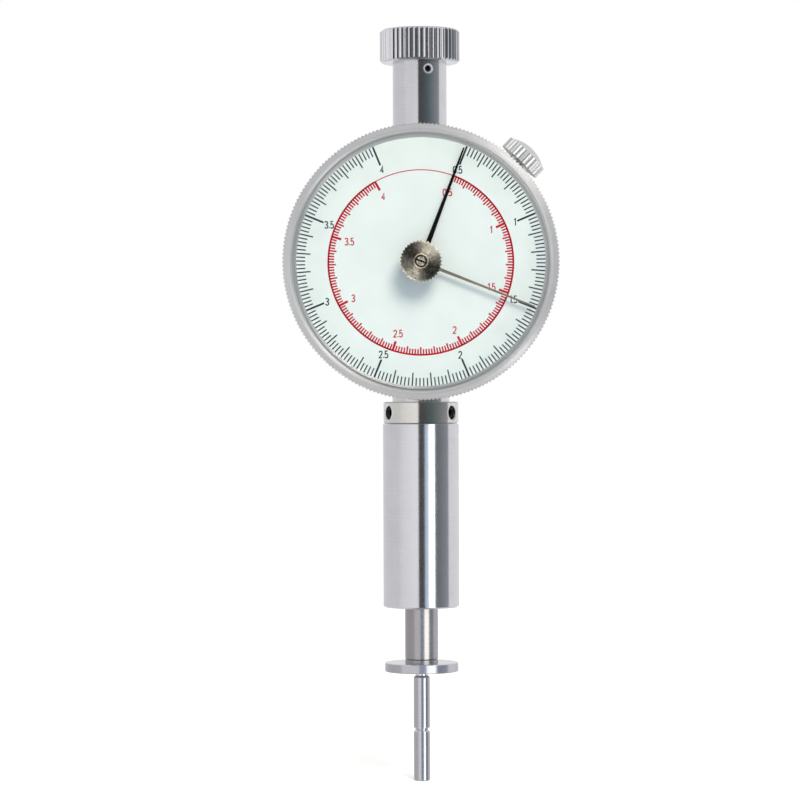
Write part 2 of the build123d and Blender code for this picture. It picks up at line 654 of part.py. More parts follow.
with BuildPart() as probe_pin:
    revolve(outline(BARREL, [
        (0, PROBE_TIP),
        (PROBE_R - FINE_EDGE, PROBE_TIP),
        (PROBE_R, PROBE_TIP + FINE_EDGE),
        (PROBE_R, GROOVE_Z - GROOVE_DEPTH),
        (PROBE_R - GROOVE_DEPTH, GROOVE_Z),
        (PROBE_R, GROOVE_Z + GROOVE_DEPTH),
        (PROBE_R, NECK_FOOT - PROBE_SHOULDER),
        (PROBE_SHANK_R, NECK_FOOT),
        (PROBE_SHANK_R, SHANK_TOP),
        (0, SHANK_TOP),
    ]), axis=Axis.Z)
save(probe_pin, "probe_pin")

# Rod: carries the rack on a flat, and the guide pin on its right
RACK_MARGIN = PITCH_R + PINION_ADDENDUM + RACK_RUNOUT
RACK_LOW = -STROKE - RACK_MARGIN
RACK_FOOT_Z = RACK_LOW - RACK_FOOT
RACK_HEAD_Z = RACK_MARGIN + RACK_FOOT
RACK_SPOTS = spots(FACE.offset(RACK_FRONT), [(0, RACK_MARGIN + RACK_FOOT / 2), (0, RACK_LOW - RACK_FOOT / 2)])
with BuildPart() as rack_rod:
    revolve(outline(BARREL, [
        (0, PLUNGER_TOP - ROD_THREAD),
        (ROD_THREAD_R, PLUNGER_TOP - ROD_THREAD),
        (ROD_THREAD_R, PLUNGER_TOP),
        (ROD_R, PLUNGER_TOP),
        (ROD_R, ROD_TOP - EDGE),
        (ROD_R - EDGE, ROD_TOP),
        (0, ROD_TOP),
    ]), axis=Axis.Z)
    extrude(outline(FACE.offset(RACK_SEAT), [
        (-ROD_R, RACK_FOOT_Z - FREE_GAP),
        (ROD_R, RACK_FOOT_Z - FREE_GAP),
        (ROD_R, RACK_HEAD_Z + FREE_GAP),
        (-ROD_R, RACK_HEAD_Z + FREE_GAP),
    ]), amount=ROD_R, mode=Mode.SUBTRACT)
    with Locations(*RACK_SPOTS):
        Hole(RACK_SCREW_R, RACK_SCREW_LEN)
    with BuildSketch(side_plane(GUIDE_PIN_ANGLE, GUIDE_PIN_Z)):
        Circle(GUIDE_PIN_R)
    extrude(amount=ROD_R, mode=Mode.SUBTRACT)
save(rack_rod, "rack_rod")

with BuildPart() as guide_pin:
    with BuildSketch(side_plane(GUIDE_PIN_ANGLE, GUIDE_PIN_Z)):
        Circle(GUIDE_PIN_R)
    extrude(amount=GUIDE_PIN_LEN)
save(guide_pin, "guide_pin")


def rack_teeth():
    """Rack teeth up the pitch line, with a space level with the pinion's axis at rest."""
    half = PITCH / 4 - FLANK_FIT
    root_x = -PITCH_R - RACK_DEDENDUM
    tip_x = -PITCH_R + RACK_ADDENDUM
    root_half = half + RACK_DEDENDUM * tan(PRESSURE_ANGLE)
    tip_half = half - RACK_ADDENDUM * tan(PRESSURE_ANGLE)
    points = [(root_x, RACK_LOW)]
    for step in range(int(RACK_LOW / PITCH), int(RACK_MARGIN / PITCH)):
        middle = (step + 0.5) * PITCH
        points += [(root_x, middle - root_half), (tip_x, middle - tip_half)]
        points += [(tip_x, middle + tip_half), (root_x, middle + root_half)]
    return points + [(root_x, RACK_MARGIN)]


# Rack plate: a toothed bar with a foot at each end, which passes the pinion in its window
RACK_BACK_X = -PITCH_R - RACK_DEDENDUM - RACK_BAR
RACK_FOOT_X = RACK_HEAD_R + TURN_GAP
with BuildPart() as rack_plate:
    extrude(outline(FACE.offset(RACK_SEAT), [
        (RACK_BACK_X, RACK_FOOT_Z),
        (RACK_FOOT_X, RACK_FOOT_Z),
        (RACK_FOOT_X, RACK_LOW),
        *rack_teeth(),
        (RACK_FOOT_X, RACK_MARGIN),
        (RACK_FOOT_X, RACK_HEAD_Z),
        (RACK_BACK_X, RACK_HEAD_Z),
    ]), amount=RACK_T)
    with Locations(*RACK_SPOTS):
        Hole(RACK_SCREW_R, RACK_T)
save(rack_plate, "rack_plate")

with BuildPart() as rack_screws:
    with Locations(*RACK_SPOTS):
        Cylinder(RACK_SCREW_R, RACK_SCREW_LEN, align=(Align.CENTER, Align.CENTER, Align.MAX))
        Cylinder(RACK_HEAD_R, RACK_HEAD_T, align=(Align.CENTER, Align.CENTER, Align.MIN))
    with Locations(*[place * Location((0, 0, RACK_HEAD_T)) for place in RACK_SPOTS]):
        Box(2 * RACK_HEAD_R, SLOT_W, SLOT_W, mode=Mode.SUBTRACT)
save(rack_screws, "rack_screws")


def pinion_teeth():
    """Involute teeth round the pinion, thinned by the flank fit, one of them level with the rack."""
    base_r = PITCH_R * cos(PRESSURE_ANGLE)
    tip_r = PITCH_R + PINION_ADDENDUM
    root_r = PITCH_R - PINION_DEDENDUM
    pitch_half = pi / (2 * PINION_TEETH) - FLANK_FIT / PITCH_R

    def half_angle(radius):
        roll = acos(base_r / radius)
        return pitch_half + tan(PRESSURE_ANGLE) - PRESSURE_ANGLE - tan(roll) + roll

    reaches = [base_r + (tip_r - base_r) * step / FLANK_STEPS for step in range(FLANK_STEPS + 1)]
    flank = [(root_r, half_angle(base_r))] + [(reach, half_angle(reach)) for reach in reaches]
    points = []
    for tooth in range(PINION_TEETH):
        middle = 2 * pi * tooth / PINION_TEETH
        ways = [(reach, middle - half) for reach, half in flank]
        ways += [(reach, middle + half) for reach, half in reversed(flank)]
        points += [(reach * cos(turn), reach * sin(turn)) for reach, turn in ways]
    return points


# Pinion and arbor, one piece, overhung from a long bush in the movement plate
with BuildPart() as pinion_arbor:
    extrude(outline(FACE.offset(PINION_BACK), pinion_teeth()), amount=PINION_FRONT - PINION_BACK)
    with BuildSketch(FACE.offset(PINION_BACK)):
        Circle(ARBOR_R)
    extrude(amount=ARBOR_FRONT - PINION_BACK)
save(pinion_arbor, "pinion_arbor")

with BuildPart() as arbor_bush:
    revolve(outline(DIAL, [
        (ARBOR_R + PIVOT_FIT, ARBOR_BUSH_BACK),
        (ARBOR_BUSH_R, ARBOR_BUSH_BACK),
        (ARBOR_BUSH_R, PLATE_FRONT),
        (ARBOR_FLANGE_R, PLATE_FRONT),
        (ARBOR_FLANGE_R, PLATE_FRONT + ARBOR_FLANGE_T),
        (ARBOR_NOSE_R, PLATE_FRONT + ARBOR_FLANGE_T),
        (ARBOR_NOSE_R, ARBOR_NOSE_FRONT),
        (ARBOR_R + PIVOT_FIT, ARBOR_NOSE_FRONT),
    ]), axis=DIAL_AXIS)
save(arbor_bush, "arbor_bush")

# Movement plate: screwed to the case's ledge, with the guide block on its back
with BuildPart() as movement_plate:
    revolve(outline(DIAL, tube_profile(
        ARBOR_BUSH_R, BEZEL_SPIGOT_R, PLATE_BACK, PLATE_FRONT)), axis=DIAL_AXIS)
    with Locations(*PLATE_SPOTS, *GUIDE_SPOTS):
        CounterSinkHole(PLATE_SCREW_R, PLATE_SCREW_HEAD, counter_sink_angle=CSK_ANGLE)
save(movement_plate, "movement_plate")
save(csk_screws(PLATE_SPOTS, PLATE_SCREW_R, PLATE_SCREW_HEAD, PLATE_SCREW_LEN), "plate_screws")

GUIDE_SLOT_Y = GUIDE_PIN_R + RUN_FIT
GUIDE_BACK_Y = GUIDE_SLOT_Y + GUIDE_LIP
with BuildPart() as guide_block:
    extrude(outline(Plane.XY.offset(GUIDE_FOOT_Z), [
        (GUIDE_NEAR_X, -PLATE_BACK),
        (GUIDE_FAR_X, -PLATE_BACK),
        (GUIDE_FAR_X, GUIDE_BACK_Y),
        (GUIDE_NEAR_X, GUIDE_BACK_Y),
        (GUIDE_NEAR_X, GUIDE_SLOT_Y),
        (GUIDE_SLOT_X, GUIDE_SLOT_Y),
        (GUIDE_SLOT_X, -GUIDE_SLOT_Y),
        (GUIDE_NEAR_X, -GUIDE_SLOT_Y),
    ]), amount=GUIDE_LEN)
    with Locations(*GUIDE_SPOTS):
        Hole(PLATE_SCREW_R, PLATE_SCREW_LEN)
save(guide_block, "guide_block")
save(csk_screws(GUIDE_SPOTS, PLATE_SCREW_R, PLATE_SCREW_HEAD, PLATE_SCREW_LEN), "guide_screws")

# Bezel: a knurled ring whose spigot turns in the case's front bore
KNURL_FRONT = BEZEL_FRONT - (BEZEL_R - BEZEL_TOOTH - BEZEL_LAND_R)
with BuildPart() as bezel:
    teeth = knurl(FACE.offset(BEZEL_BACK), BEZEL_R, BEZEL_TOOTH, BEZEL_TEETH, POINTED)
    extrude(teeth, amount=KNURL_FRONT - BEZEL_BACK)
    revolve(outline(DIAL, [
        (0, KNURL_FRONT),
        (BEZEL_R - BEZEL_TOOTH, KNURL_FRONT),
        (BEZEL_LAND_R, BEZEL_FRONT),
        (0, BEZEL_FRONT),
    ]), axis=DIAL_AXIS)
    revolve(outline(DIAL, [
        (0, SPIGOT_BACK),
        (BEZEL_SPIGOT_R, SPIGOT_BACK),
        (BEZEL_SPIGOT_R, SNAP_BACK),
        (SNAP_GROOVE_R, SNAP_BACK),
        (SNAP_GROOVE_R, SNAP_FRONT),
        (BEZEL_SPIGOT_R, SNAP_FRONT),
        (BEZEL_SPIGOT_R, BEZEL_BACK),
        (0, BEZEL_BACK),
    ]), axis=DIAL_AXIS)
    revolve(outline(DIAL, [
        (0, SPIGOT_BACK),
        (SPIGOT_BORE_R, SPIGOT_BACK),
        (SPIGOT_BORE_R, DIAL_BACK),
        (WINDOW_SEAT_R, DIAL_BACK),
        (WINDOW_SEAT_R, BEZEL_FRONT - EDGE),
        (WINDOW_SEAT_R + EDGE, BEZEL_FRONT),
        (0, BEZEL_FRONT),
    ]), axis=DIAL_AXIS, mode=Mode.SUBTRACT)
save(bezel, "bezel")

# Snap ring: sits in the case's groove and reaches into the bezel's
with BuildPart() as snap_ring:
    revolve(outline(DIAL, tube_profile(
        SNAP_GROOVE_R + RUN_FIT, SNAP_R, SNAP_BACK + REST_GAP, SNAP_FRONT - REST_GAP)), axis=DIAL_AXIS)
    with BuildSketch(FACE.offset(SNAP_BACK)):
        Rectangle(SNAP_OPENING, 2 * SNAP_R, align=(Align.CENTER, Align.MAX))
    extrude(amount=SNAP_T, mode=Mode.SUBTRACT)
save(snap_ring, "snap_ring")

# Window, its bevelled ring, the spacer behind it and the dial plate, stacked in the bezel
RING_CREST_R = WINDOW_SEAT_R - RING_GROOVE_W
with BuildPart() as window_ring:
    revolve(outline(DIAL, [
        (WINDOW_SEAT_R, WINDOW_FRONT),
        (WINDOW_SEAT_R, BEZEL_FRONT - RING_GROOVE),
        (RING_CREST_R, BEZEL_FRONT - RING_GROOVE),
        (RING_CREST_R, BEZEL_FRONT),
        (RING_CREST_R - RING_LAND, BEZEL_FRONT),
        (OPENING_R, WINDOW_FRONT + EDGE),
        (OPENING_R, WINDOW_FRONT),
    ]), axis=DIAL_AXIS)
save(window_ring, "window_ring")

with BuildPart() as window:
    revolve(outline(DIAL, tube_profile(
        RESET_BUSH_R, WINDOW_SEAT_R, WINDOW_BACK, WINDOW_FRONT)), axis=DIAL_AXIS)
save(window, "window")

with BuildPart() as dial_spacer:
    revolve(outline(DIAL, tube_profile(SPACER_R, WINDOW_SEAT_R, DIAL_FRONT, WINDOW_BACK)), axis=DIAL_AXIS)
save(dial_spacer, "dial_spacer")

with BuildPart() as dial_plate:
    revolve(outline(DIAL, tube_profile(DIAL_HOLE_R, WINDOW_SEAT_R, DIAL_BACK, DIAL_FRONT)), axis=DIAL_AXIS)
save(dial_plate, "dial_plate")


def pointer_blade(angle, root, tip):
    """A tapered blade from the dial's centre, at an angle clockwise from the top."""
    way = (sin(radians(angle)), cos(radians(angle)))
    end = (POINTER_LEN * way[0], POINTER_LEN * way[1])
    root_side = (way[1] * root / 2, -way[0] * root / 2)
    tip_side = (way[1] * tip / 2, -way[0] * tip / 2)
    return [
        (-root_side[0], -root_side[1]),
        root_side,
        (end[0] + tip_side[0], end[1] + tip_side[1]),
        (end[0] - tip_side[0], end[1] - tip_side[1]),
    ]


# Drive pointer: its eye sits on a hub that grips the arbor, and its pin carries the peak pointer
with BuildPart() as drive_pointer:
    blade = outline(FACE.offset(DRIVE_BACK), pointer_blade(DRIVE_ANGLE, DRIVE_ROOT, DRIVE_TIP))
    extrude(blade, amount=POINTER_T)
    with BuildSketch(FACE.offset(DRIVE_BACK)):
        Circle(POINTER_HUB_R + POINTER_EYE)
    extrude(amount=POINTER_T)
    with BuildSketch(FACE.offset(DRIVE_BACK)):
        Circle(POINTER_HUB_R)
    extrude(amount=POINTER_T, mode=Mode.SUBTRACT)
save(drive_pointer, "drive_pointer")

with BuildPart() as drive_hub:
    revolve(outline(DIAL, [
        (ARBOR_R, DRIVE_HUB_BACK),
        (POINTER_HUB_R + DRIVE_HUB_LIP, DRIVE_HUB_BACK),
        (POINTER_HUB_R + DRIVE_HUB_LIP, DRIVE_BACK),
        (POINTER_HUB_R, DRIVE_BACK),
        (POINTER_HUB_R, ARBOR_FRONT),
        (ARBOR_R, ARBOR_FRONT),
    ]), axis=DIAL_AXIS)
save(drive_hub, "drive_hub")

CARRY_X = CARRY_PIN_REACH * sin(radians(DRIVE_ANGLE))
CARRY_Y = CARRY_PIN_REACH * cos(radians(DRIVE_ANGLE))
CARRY_PIN_LEN = PEAK_BACK - CARRY_GAP - DRIVE_FRONT
with BuildPart() as carry_pin:
    with Locations(*spots(FACE.offset(DRIVE_FRONT), [(CARRY_X, CARRY_Y)])):
        Cylinder(CARRY_PIN_R, CARRY_PIN_LEN, align=(Align.CENTER, Align.CENTER, Align.MIN))
save(carry_pin, "carry_pin")

# Peak pointer and reset knob: joined by a shaft in a bush through the window
with BuildPart() as peak_pointer:
    blade = outline(FACE.offset(PEAK_BACK), pointer_blade(PEAK_ANGLE, PEAK_ROOT, PEAK_TIP))
    extrude(blade, amount=POINTER_T)
    with BuildSketch(FACE.offset(PEAK_HUB_BACK)):
        Circle(PEAK_HUB_R)
    extrude(amount=PEAK_HUB_T)
    with BuildSketch(FACE.offset(PEAK_HUB_BACK)):
        Circle(RESET_SHAFT_R)
    extrude(amount=PEAK_HUB_T, mode=Mode.SUBTRACT)
save(peak_pointer, "peak_pointer")

RECESS_BACK = RESET_FRONT - RESET_RECESS
SHAFT_FRONT = RECESS_BACK - RESET_WEB
with BuildPart() as reset_shaft:
    revolve(outline(DIAL, [
        (0, PEAK_HUB_BACK),
        (RESET_SHAFT_R, PEAK_HUB_BACK),
        (RESET_SHAFT_R, SHAFT_FRONT),
        (RESET_SCREW_R, SHAFT_FRONT),
        (RESET_SCREW_R, RECESS_BACK - RESET_SCREW_LEN),
        (0, RECESS_BACK - RESET_SCREW_LEN),
    ]), axis=DIAL_AXIS)
save(reset_shaft, "reset_shaft")

with BuildPart() as reset_bush:
    revolve(outline(DIAL, [
        (RESET_SHAFT_R + PIVOT_FIT, RIVET_BACK),
        (RESET_RIVET_R, RIVET_BACK),
        (RESET_RIVET_R, WINDOW_BACK),
        (RESET_BUSH_R, WINDOW_BACK),
        (RESET_BUSH_R, WINDOW_FRONT),
        (RESET_FLANGE_R, WINDOW_FRONT),
        (RESET_FLANGE_R, WINDOW_FRONT + RESET_FLANGE_T),
        (RESET_SHAFT_R + PIVOT_FIT, WINDOW_FRONT + RESET_FLANGE_T),
    ]), axis=DIAL_AXIS)
save(reset_bush, "reset_bush")

WASHER_R = RESET_FLANGE_R - TURN_GAP
WASHER_BACK = WINDOW_FRONT + RESET_FLANGE_T + REST_GAP
with BuildPart() as friction_washer:
    revolve(outline(DIAL, [
        (RESET_SHAFT_R, RESET_BACK - WASHER_T),
        (RESET_SHAFT_R, RESET_BACK),
        (WASHER_R, WASHER_BACK + WASHER_T),
        (WASHER_R, WASHER_BACK),
    ]), axis=DIAL_AXIS)
save(friction_washer, "friction_washer")

RIM_R = RESET_KNOB_R - KNOB_TOOTH
RIM_FRONT = RESET_FRONT - RESET_FACE_FALL
with BuildPart() as reset_knob:
    teeth = knurl(FACE.offset(RESET_BACK), RESET_KNOB_R, KNOB_TOOTH, RESET_KNOB_TEETH, POINTED)
    extrude(teeth, amount=RIM_FRONT - RESET_BACK)
    revolve(outline(DIAL, [
        (0, RIM_FRONT),
        (RIM_R, RIM_FRONT),
        (RESET_RECESS_R + EDGE, RESET_FRONT),
        (0, RESET_FRONT),
    ]), axis=DIAL_AXIS)
    revolve(outline(DIAL, [
        (0, RESET_BACK),
        (RESET_SHAFT_R, RESET_BACK),
        (RESET_SHAFT_R, SHAFT_FRONT),
        (RESET_SCREW_R, SHAFT_FRONT),
        (RESET_SCREW_R, RECESS_BACK),
        (RESET_RECESS_R, RECESS_BACK),
        (RESET_RECESS_R, RESET_FRONT - EDGE),
        (RESET_RECESS_R + EDGE, RESET_FRONT),
        (0, RESET_FRONT),
    ]), axis=DIAL_AXIS, mode=Mode.SUBTRACT)
save(reset_knob, "reset_knob")

with BuildPart() as reset_screw:
    revolve(outline(DIAL, [
        (0, RECESS_BACK - RESET_SCREW_LEN),
        (RESET_SCREW_R, RECESS_BACK - RESET_SCREW_LEN),
        (RESET_SCREW_R, RECESS_BACK),
        (RESET_HEAD_R, RECESS_BACK),
        (RESET_HEAD_R, RECESS_BACK + RESET_HEAD_T),
        (0, RECESS_BACK + RESET_HEAD_T),
    ]), axis=DIAL_AXIS)
    with BuildSketch(FACE.offset(RECESS_BACK + RESET_HEAD_T)):
        Rectangle(2 * RESET_HEAD_R, SLOT_W, rotation=-DRIVE_ANGLE)
    extrude(amount=-SLOT_W, mode=Mode.SUBTRACT)
save(reset_screw, "reset_screw")

# Lock knob and stud: the stud screws through the case wall towards the bezel's spigot
LOCK_NEAR = BEZEL_R + LOCK_STANDOFF
LOCK_FAR = LOCK_NEAR + LOCK_KNOB_T
DOME_R = LOCK_KNOB_R - KNOB_TOOTH
STUD_FAR = LOCK_NEAR + LOCK_STUD_GRIP
with BuildPart() as lock_knob:
    teeth = knurl(LOCK.offset(LOCK_NEAR), LOCK_KNOB_R, KNOB_TOOTH, LOCK_KNOB_TEETH, CROWNED)
    extrude(teeth, amount=LOCK_KNOB_T)
    with BuildSketch(LOCK_TURN):
        with BuildLine():
            Line((0, LOCK_FAR), (DOME_R, LOCK_FAR))
            TangentArc((0, LOCK_FAR + LOCK_KNOB_DOME), (DOME_R, LOCK_FAR), tangent=(1, 0))
            Line((0, LOCK_FAR + LOCK_KNOB_DOME), (0, LOCK_FAR))
        make_face()
    revolve(axis=LOCK_AXIS)
    with BuildSketch(LOCK.offset(LOCK_NEAR)):
        Circle(LOCK_STUD_R)
    extrude(amount=LOCK_STUD_GRIP, mode=Mode.SUBTRACT)
save(lock_knob, "lock_knob")

STUD_TIP = FRONT_BORE_R + TURN_GAP
with BuildPart() as lock_stud:
    revolve(outline(LOCK_TURN, [
        (0, STUD_TIP),
        (LOCK_STUD_R - EDGE, STUD_TIP),
        (LOCK_STUD_R, STUD_TIP + EDGE),
        (LOCK_STUD_R, CASE_R + FREE_GAP),
        (LOCK_STUD_R + LOCK_SHOULDER, CASE_R + FREE_GAP),
        (LOCK_STUD_R + LOCK_SHOULDER, LOCK_NEAR),
        (LOCK_STUD_R, LOCK_NEAR),
        (LOCK_STUD_R, STUD_FAR),
        (0, STUD_FAR),
    ]), axis=LOCK_AXIS)
save(lock_stud, "lock_stud")

# Main spring: one wire, wound from quarter-turn arcs that meet smoothly
SPRING_LOW = SPRING_FOOT + WIRE_R + REST_GAP
SPRING_HIGH = SPRING_TOP - WIRE_R - REST_GAP
RISE = (SPRING_HIGH - SPRING_LOW) / SPRING_QUARTERS
QUARTER_SAMPLES = 6
SPRING_SAMPLES = QUARTER_SAMPLES * SPRING_QUARTERS


def spring_point(quarter):
    """A point on the spring's centre line after some quarter turns."""
    turn = quarter * pi / 2
    return (SPRING_R * cos(turn), SPRING_R * sin(turn), SPRING_LOW + quarter * RISE)


def spring_way(quarter):
    """The wire's direction there, with the slope that makes the arcs meet in line."""
    turn = quarter * pi / 2
    return (-sin(turn), cos(turn), RISE / (2 * SPRING_R))


with BuildPart() as main_spring:
    with BuildLine() as coil:
        for quarter in range(SPRING_QUARTERS):
            TangentArc(spring_point(quarter), spring_point(quarter + 1), tangent=spring_way(quarter))
    with BuildSketch(Plane(spring_point(0), z_dir=spring_way(0))):
        RegularPolygon(WIRE_R, WIRE_SIDES)
    sweep()
save(main_spring, "main_spring")

centre_line = [tuple(coil.wire() @ (step / SPRING_SAMPLES)) for step in range(SPRING_SAMPLES + 1)]
turn_gaps = [
    dist(point, other) - 2 * WIRE_R
    for index, point in enumerate(centre_line)
    for other in centre_line[index + 2 * QUARTER_SAMPLES:]
]
print(f"main spring: least gap between turns {min(turn_gaps):.2f} mm")
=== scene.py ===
"""Looks of the fruit hardness tester: its finishes, printed dial, studio light and camera.

Lengths are in metres in the part's own frame: the plunger axis is Z and the dial faces -Y.
Clock angles are in degrees, clockwise from the top of the dial.
Azimuths are in degrees too, round the plunger axis from the front to the right.
"""

import json
from math import cos, pi, radians, sin, tan

import bmesh
import bpy
from mathutils import Matrix, Vector


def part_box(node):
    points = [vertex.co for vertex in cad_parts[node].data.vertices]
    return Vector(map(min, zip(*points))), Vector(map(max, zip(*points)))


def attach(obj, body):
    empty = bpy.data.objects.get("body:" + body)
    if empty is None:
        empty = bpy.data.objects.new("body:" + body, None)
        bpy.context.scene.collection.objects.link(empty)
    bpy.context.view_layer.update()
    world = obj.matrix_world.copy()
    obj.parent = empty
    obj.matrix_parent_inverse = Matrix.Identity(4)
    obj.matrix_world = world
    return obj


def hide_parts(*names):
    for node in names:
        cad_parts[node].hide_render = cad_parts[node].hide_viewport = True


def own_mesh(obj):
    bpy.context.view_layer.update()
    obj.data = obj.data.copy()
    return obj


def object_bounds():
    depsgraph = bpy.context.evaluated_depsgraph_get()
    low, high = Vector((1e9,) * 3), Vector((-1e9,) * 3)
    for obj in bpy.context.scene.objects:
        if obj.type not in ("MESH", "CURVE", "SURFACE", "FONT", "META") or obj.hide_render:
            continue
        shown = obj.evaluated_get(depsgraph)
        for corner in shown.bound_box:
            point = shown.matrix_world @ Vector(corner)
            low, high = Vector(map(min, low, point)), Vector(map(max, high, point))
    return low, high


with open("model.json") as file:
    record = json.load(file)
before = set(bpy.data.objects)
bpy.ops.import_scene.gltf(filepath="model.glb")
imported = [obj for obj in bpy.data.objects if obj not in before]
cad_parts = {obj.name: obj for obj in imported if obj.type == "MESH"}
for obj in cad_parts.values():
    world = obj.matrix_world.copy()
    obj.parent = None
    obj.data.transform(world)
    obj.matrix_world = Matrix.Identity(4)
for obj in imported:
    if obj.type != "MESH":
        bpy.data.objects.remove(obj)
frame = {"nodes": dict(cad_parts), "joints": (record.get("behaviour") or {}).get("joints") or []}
cad_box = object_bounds()

MM = 0.001
JOINTS = {joint["name"]: joint for joint in frame["joints"]}

# Frames of the turned pieces: local Z is the turning axis
BARREL = Matrix.Identity(4)
DIAL = Matrix.Translation(Vector(JOINTS["bezel_turn"]["pos_m"])) @ Matrix.Rotation(pi / 2, 4, "X")
REAR = DIAL @ Matrix.Rotation(pi, 4, "Y")


def at_azimuth(azimuth, reach, height):
    """A point at an azimuth, a distance from the plunger axis and a height."""
    return Vector((reach * sin(radians(azimuth)), -reach * cos(radians(azimuth)), height))


def axes_along(point, way):
    """Axes at a point, with local Z along a direction."""
    turn = Vector(way).to_track_quat("Z", "Y").to_matrix().to_4x4()
    return Matrix.Translation(Vector(point)) @ turn


def hole_axes(node, azimuth):
    """Axes of a cross hole at the height of the screws in it."""
    low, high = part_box(node)
    return axes_along((0, 0, (low.z + high.z) / 2), at_azimuth(azimuth, 1.0, 0.0))


LOCK = axes_along(JOINTS["lock_screw_turn"]["pos_m"], JOINTS["lock_screw_turn"]["axis"])

# Cross holes for the set screws, and the width of the painted white highlight on the countersink round each
STEM_HOLE_R = 0.68 * MM
STEM_HOLE_AZIMUTH = 18.0
COLLAR_HOLE_R = 1.45 * MM
COLLAR_HOLE_AZIMUTHS = (57.55, 177.55, 297.55)
HOLE_HIGHLIGHT = 0.26 * MM
HOLE_EDGE = 0.04 * MM

# Back cover: the dark seam round each flush screw head
COVER_HEAD_R = 1.8 * MM
SEAM = 0.1 * MM

# Reset knob: the recess for its screw, the bare edge round it, and where its face ends and its knurl starts
HUB_HOLE_R = 1.3 * MM
HUB_RIM = 0.16 * MM
HUB_FACE_IN = 0.5 * MM
HUB_KNURL_IN = 0.35 * MM

# Screw slots: full colour at the edge, and down in them only a share of the colour is left
COVER_SLOT_EDGE = 0.1 * MM
COVER_SLOT_DEEP = 0.25 * MM
RESET_SLOT_EDGE = 0.05 * MM
RESET_SLOT_DEEP = 0.2 * MM
SLOT_FLOOR_SHARE = 0.08

# Probe and flange: painted light makes the depth groove, the neck and the flange's top edge lighter than
# their sides
GROOVE_UP = 10.9 * MM
GROOVE_HALF = 0.4 * MM
PROBE_NECK = 0.85 * MM
LEVEL_EDGE = 0.1 * MM
OUTSIDE_BAND_SHARE = 0.63

# Turned metal: the pitch of its tool marks, and how much the place along the axis counts beside the radius
MARK_PITCH = 0.12 * MM
MARK_SLOPE = 0.62
MARK_DETAIL = 3.0

# Mottling of turned metal: what marks, grit and clouds add to it, and its effect on colour and roughness
MARK_SHARE = 0.35
GRIT_SHARE = 0.3
CLOUD_SHARE = 0.35
CLOUD_DETAIL = 4.0
METAL_DARK = 0.4
METAL_LIGHT = 0.6
METAL_ROUGHNESS = (0.85, 1.2)
METAL_BUMP = 0.35
QUARTER_TURN = 0.25

# Paint and ink: their clouds, with the shades and shares of roughness between these, and the orange peel
PAINT_DETAIL = 3.0
PAINT_STOPS = (0.3, 0.7)
PAINT_SHADES = (0.97, 1.02)
PAINT_ROUGHNESS = (0.9, 1.15)
PEEL_SIZE = 0.3 * MM
PEEL_BUMP = 0.3

# Window: clear glass with a trace of dust
GLASS_IOR = 1.46
DUST_SIZE = 6 * MM
DUST_ROUGHNESS = 0.012

# Dial scales: the black one has 25 divisions to each half unit, and the red one is in a smaller unit
SCALE_FIRST = 21.9
SCALE_SWEEP = 315.6
SCALE_START = 0.5
SCALE_STEP = 0.5
SCALE_STEPS = 7
SCALE_END = SCALE_START + SCALE_STEP * SCALE_STEPS
DIVISIONS = 25
MIDDLE_EVERY = 5
BLACK_UNIT = 1.0
RED_UNIT = 0.980665

# Print on the dial: its ink is sunk a little and stands out a little, and a tick has a length and a width
PRINT_LIFT = 0.012 * MM
PRINT_SINK = 0.008 * MM
BLACK_TICK_R = 26.15 * MM
BLACK_TICKS = {
    "major": (4.15 * MM, 0.4 * MM),
    "middle": (2.95 * MM, 0.28 * MM),
    "minor": (1.9 * MM, 0.265 * MM),
}
BLACK_NUMBER_R = 22.0 * MM
RED_TICK_R = 19.4 * MM
RED_TICKS = {
    "major": (2.05 * MM, 0.5 * MM),
    "middle": (1.6 * MM, 0.34 * MM),
    "minor": (1.2 * MM, 0.33 * MM),
}
RED_NUMBER_R = 16.8 * MM
RED_LINE = 0.38 * MM
RED_TOP_LINE = 0.2 * MM
ARC_STEP = 2.0

# Digits: each is drawn with strokes through points given as shares of its width and height
DIGIT_HIGH = 1.42 * MM
DIGIT_WIDE = 0.6 * MM
DIGIT_LINE = 0.24 * MM
DIGIT_GAP = 0.3 * MM
SHARPEST_BEND = 0.5
STROKES = {
    ".": [[(0, 0), (0, 0.14)]],
    "0": [[
        (0.5, 1), (0.15, 0.92), (0, 0.7), (0, 0.3), (0.15, 0.08),
        (0.5, 0), (0.85, 0.08), (1, 0.3), (1, 0.7), (0.85, 0.92), (0.5, 1),
    ]],
    "1": [[(0, 0.78), (0.5, 1), (0.5, 0)]],
    "2": [[
        (0, 0.76), (0.13, 0.93), (0.5, 1), (0.87, 0.93), (1, 0.74), (0.85, 0.5), (0, 0), (1, 0),
    ]],
    "3": [[
        (0, 0.84), (0.2, 0.97), (0.55, 1), (0.9, 0.9), (0.95, 0.7), (0.5, 0.53),
        (0.95, 0.38), (1, 0.2), (0.88, 0.06), (0.5, 0), (0.15, 0.04), (0, 0.18),
    ]],
    "4": [[(0.74, 0), (0.74, 1), (0, 0.3), (0.56, 0.3)], [(0.92, 0.3), (1.1, 0.3)]],
    "5": [[
        (0.92, 1), (0.15, 1), (0.06, 0.52), (0.3, 0.62), (0.6, 0.63),
        (0.92, 0.5), (1, 0.3), (0.88, 0.08), (0.5, 0), (0.15, 0.04), (0, 0.16),
    ]],
}

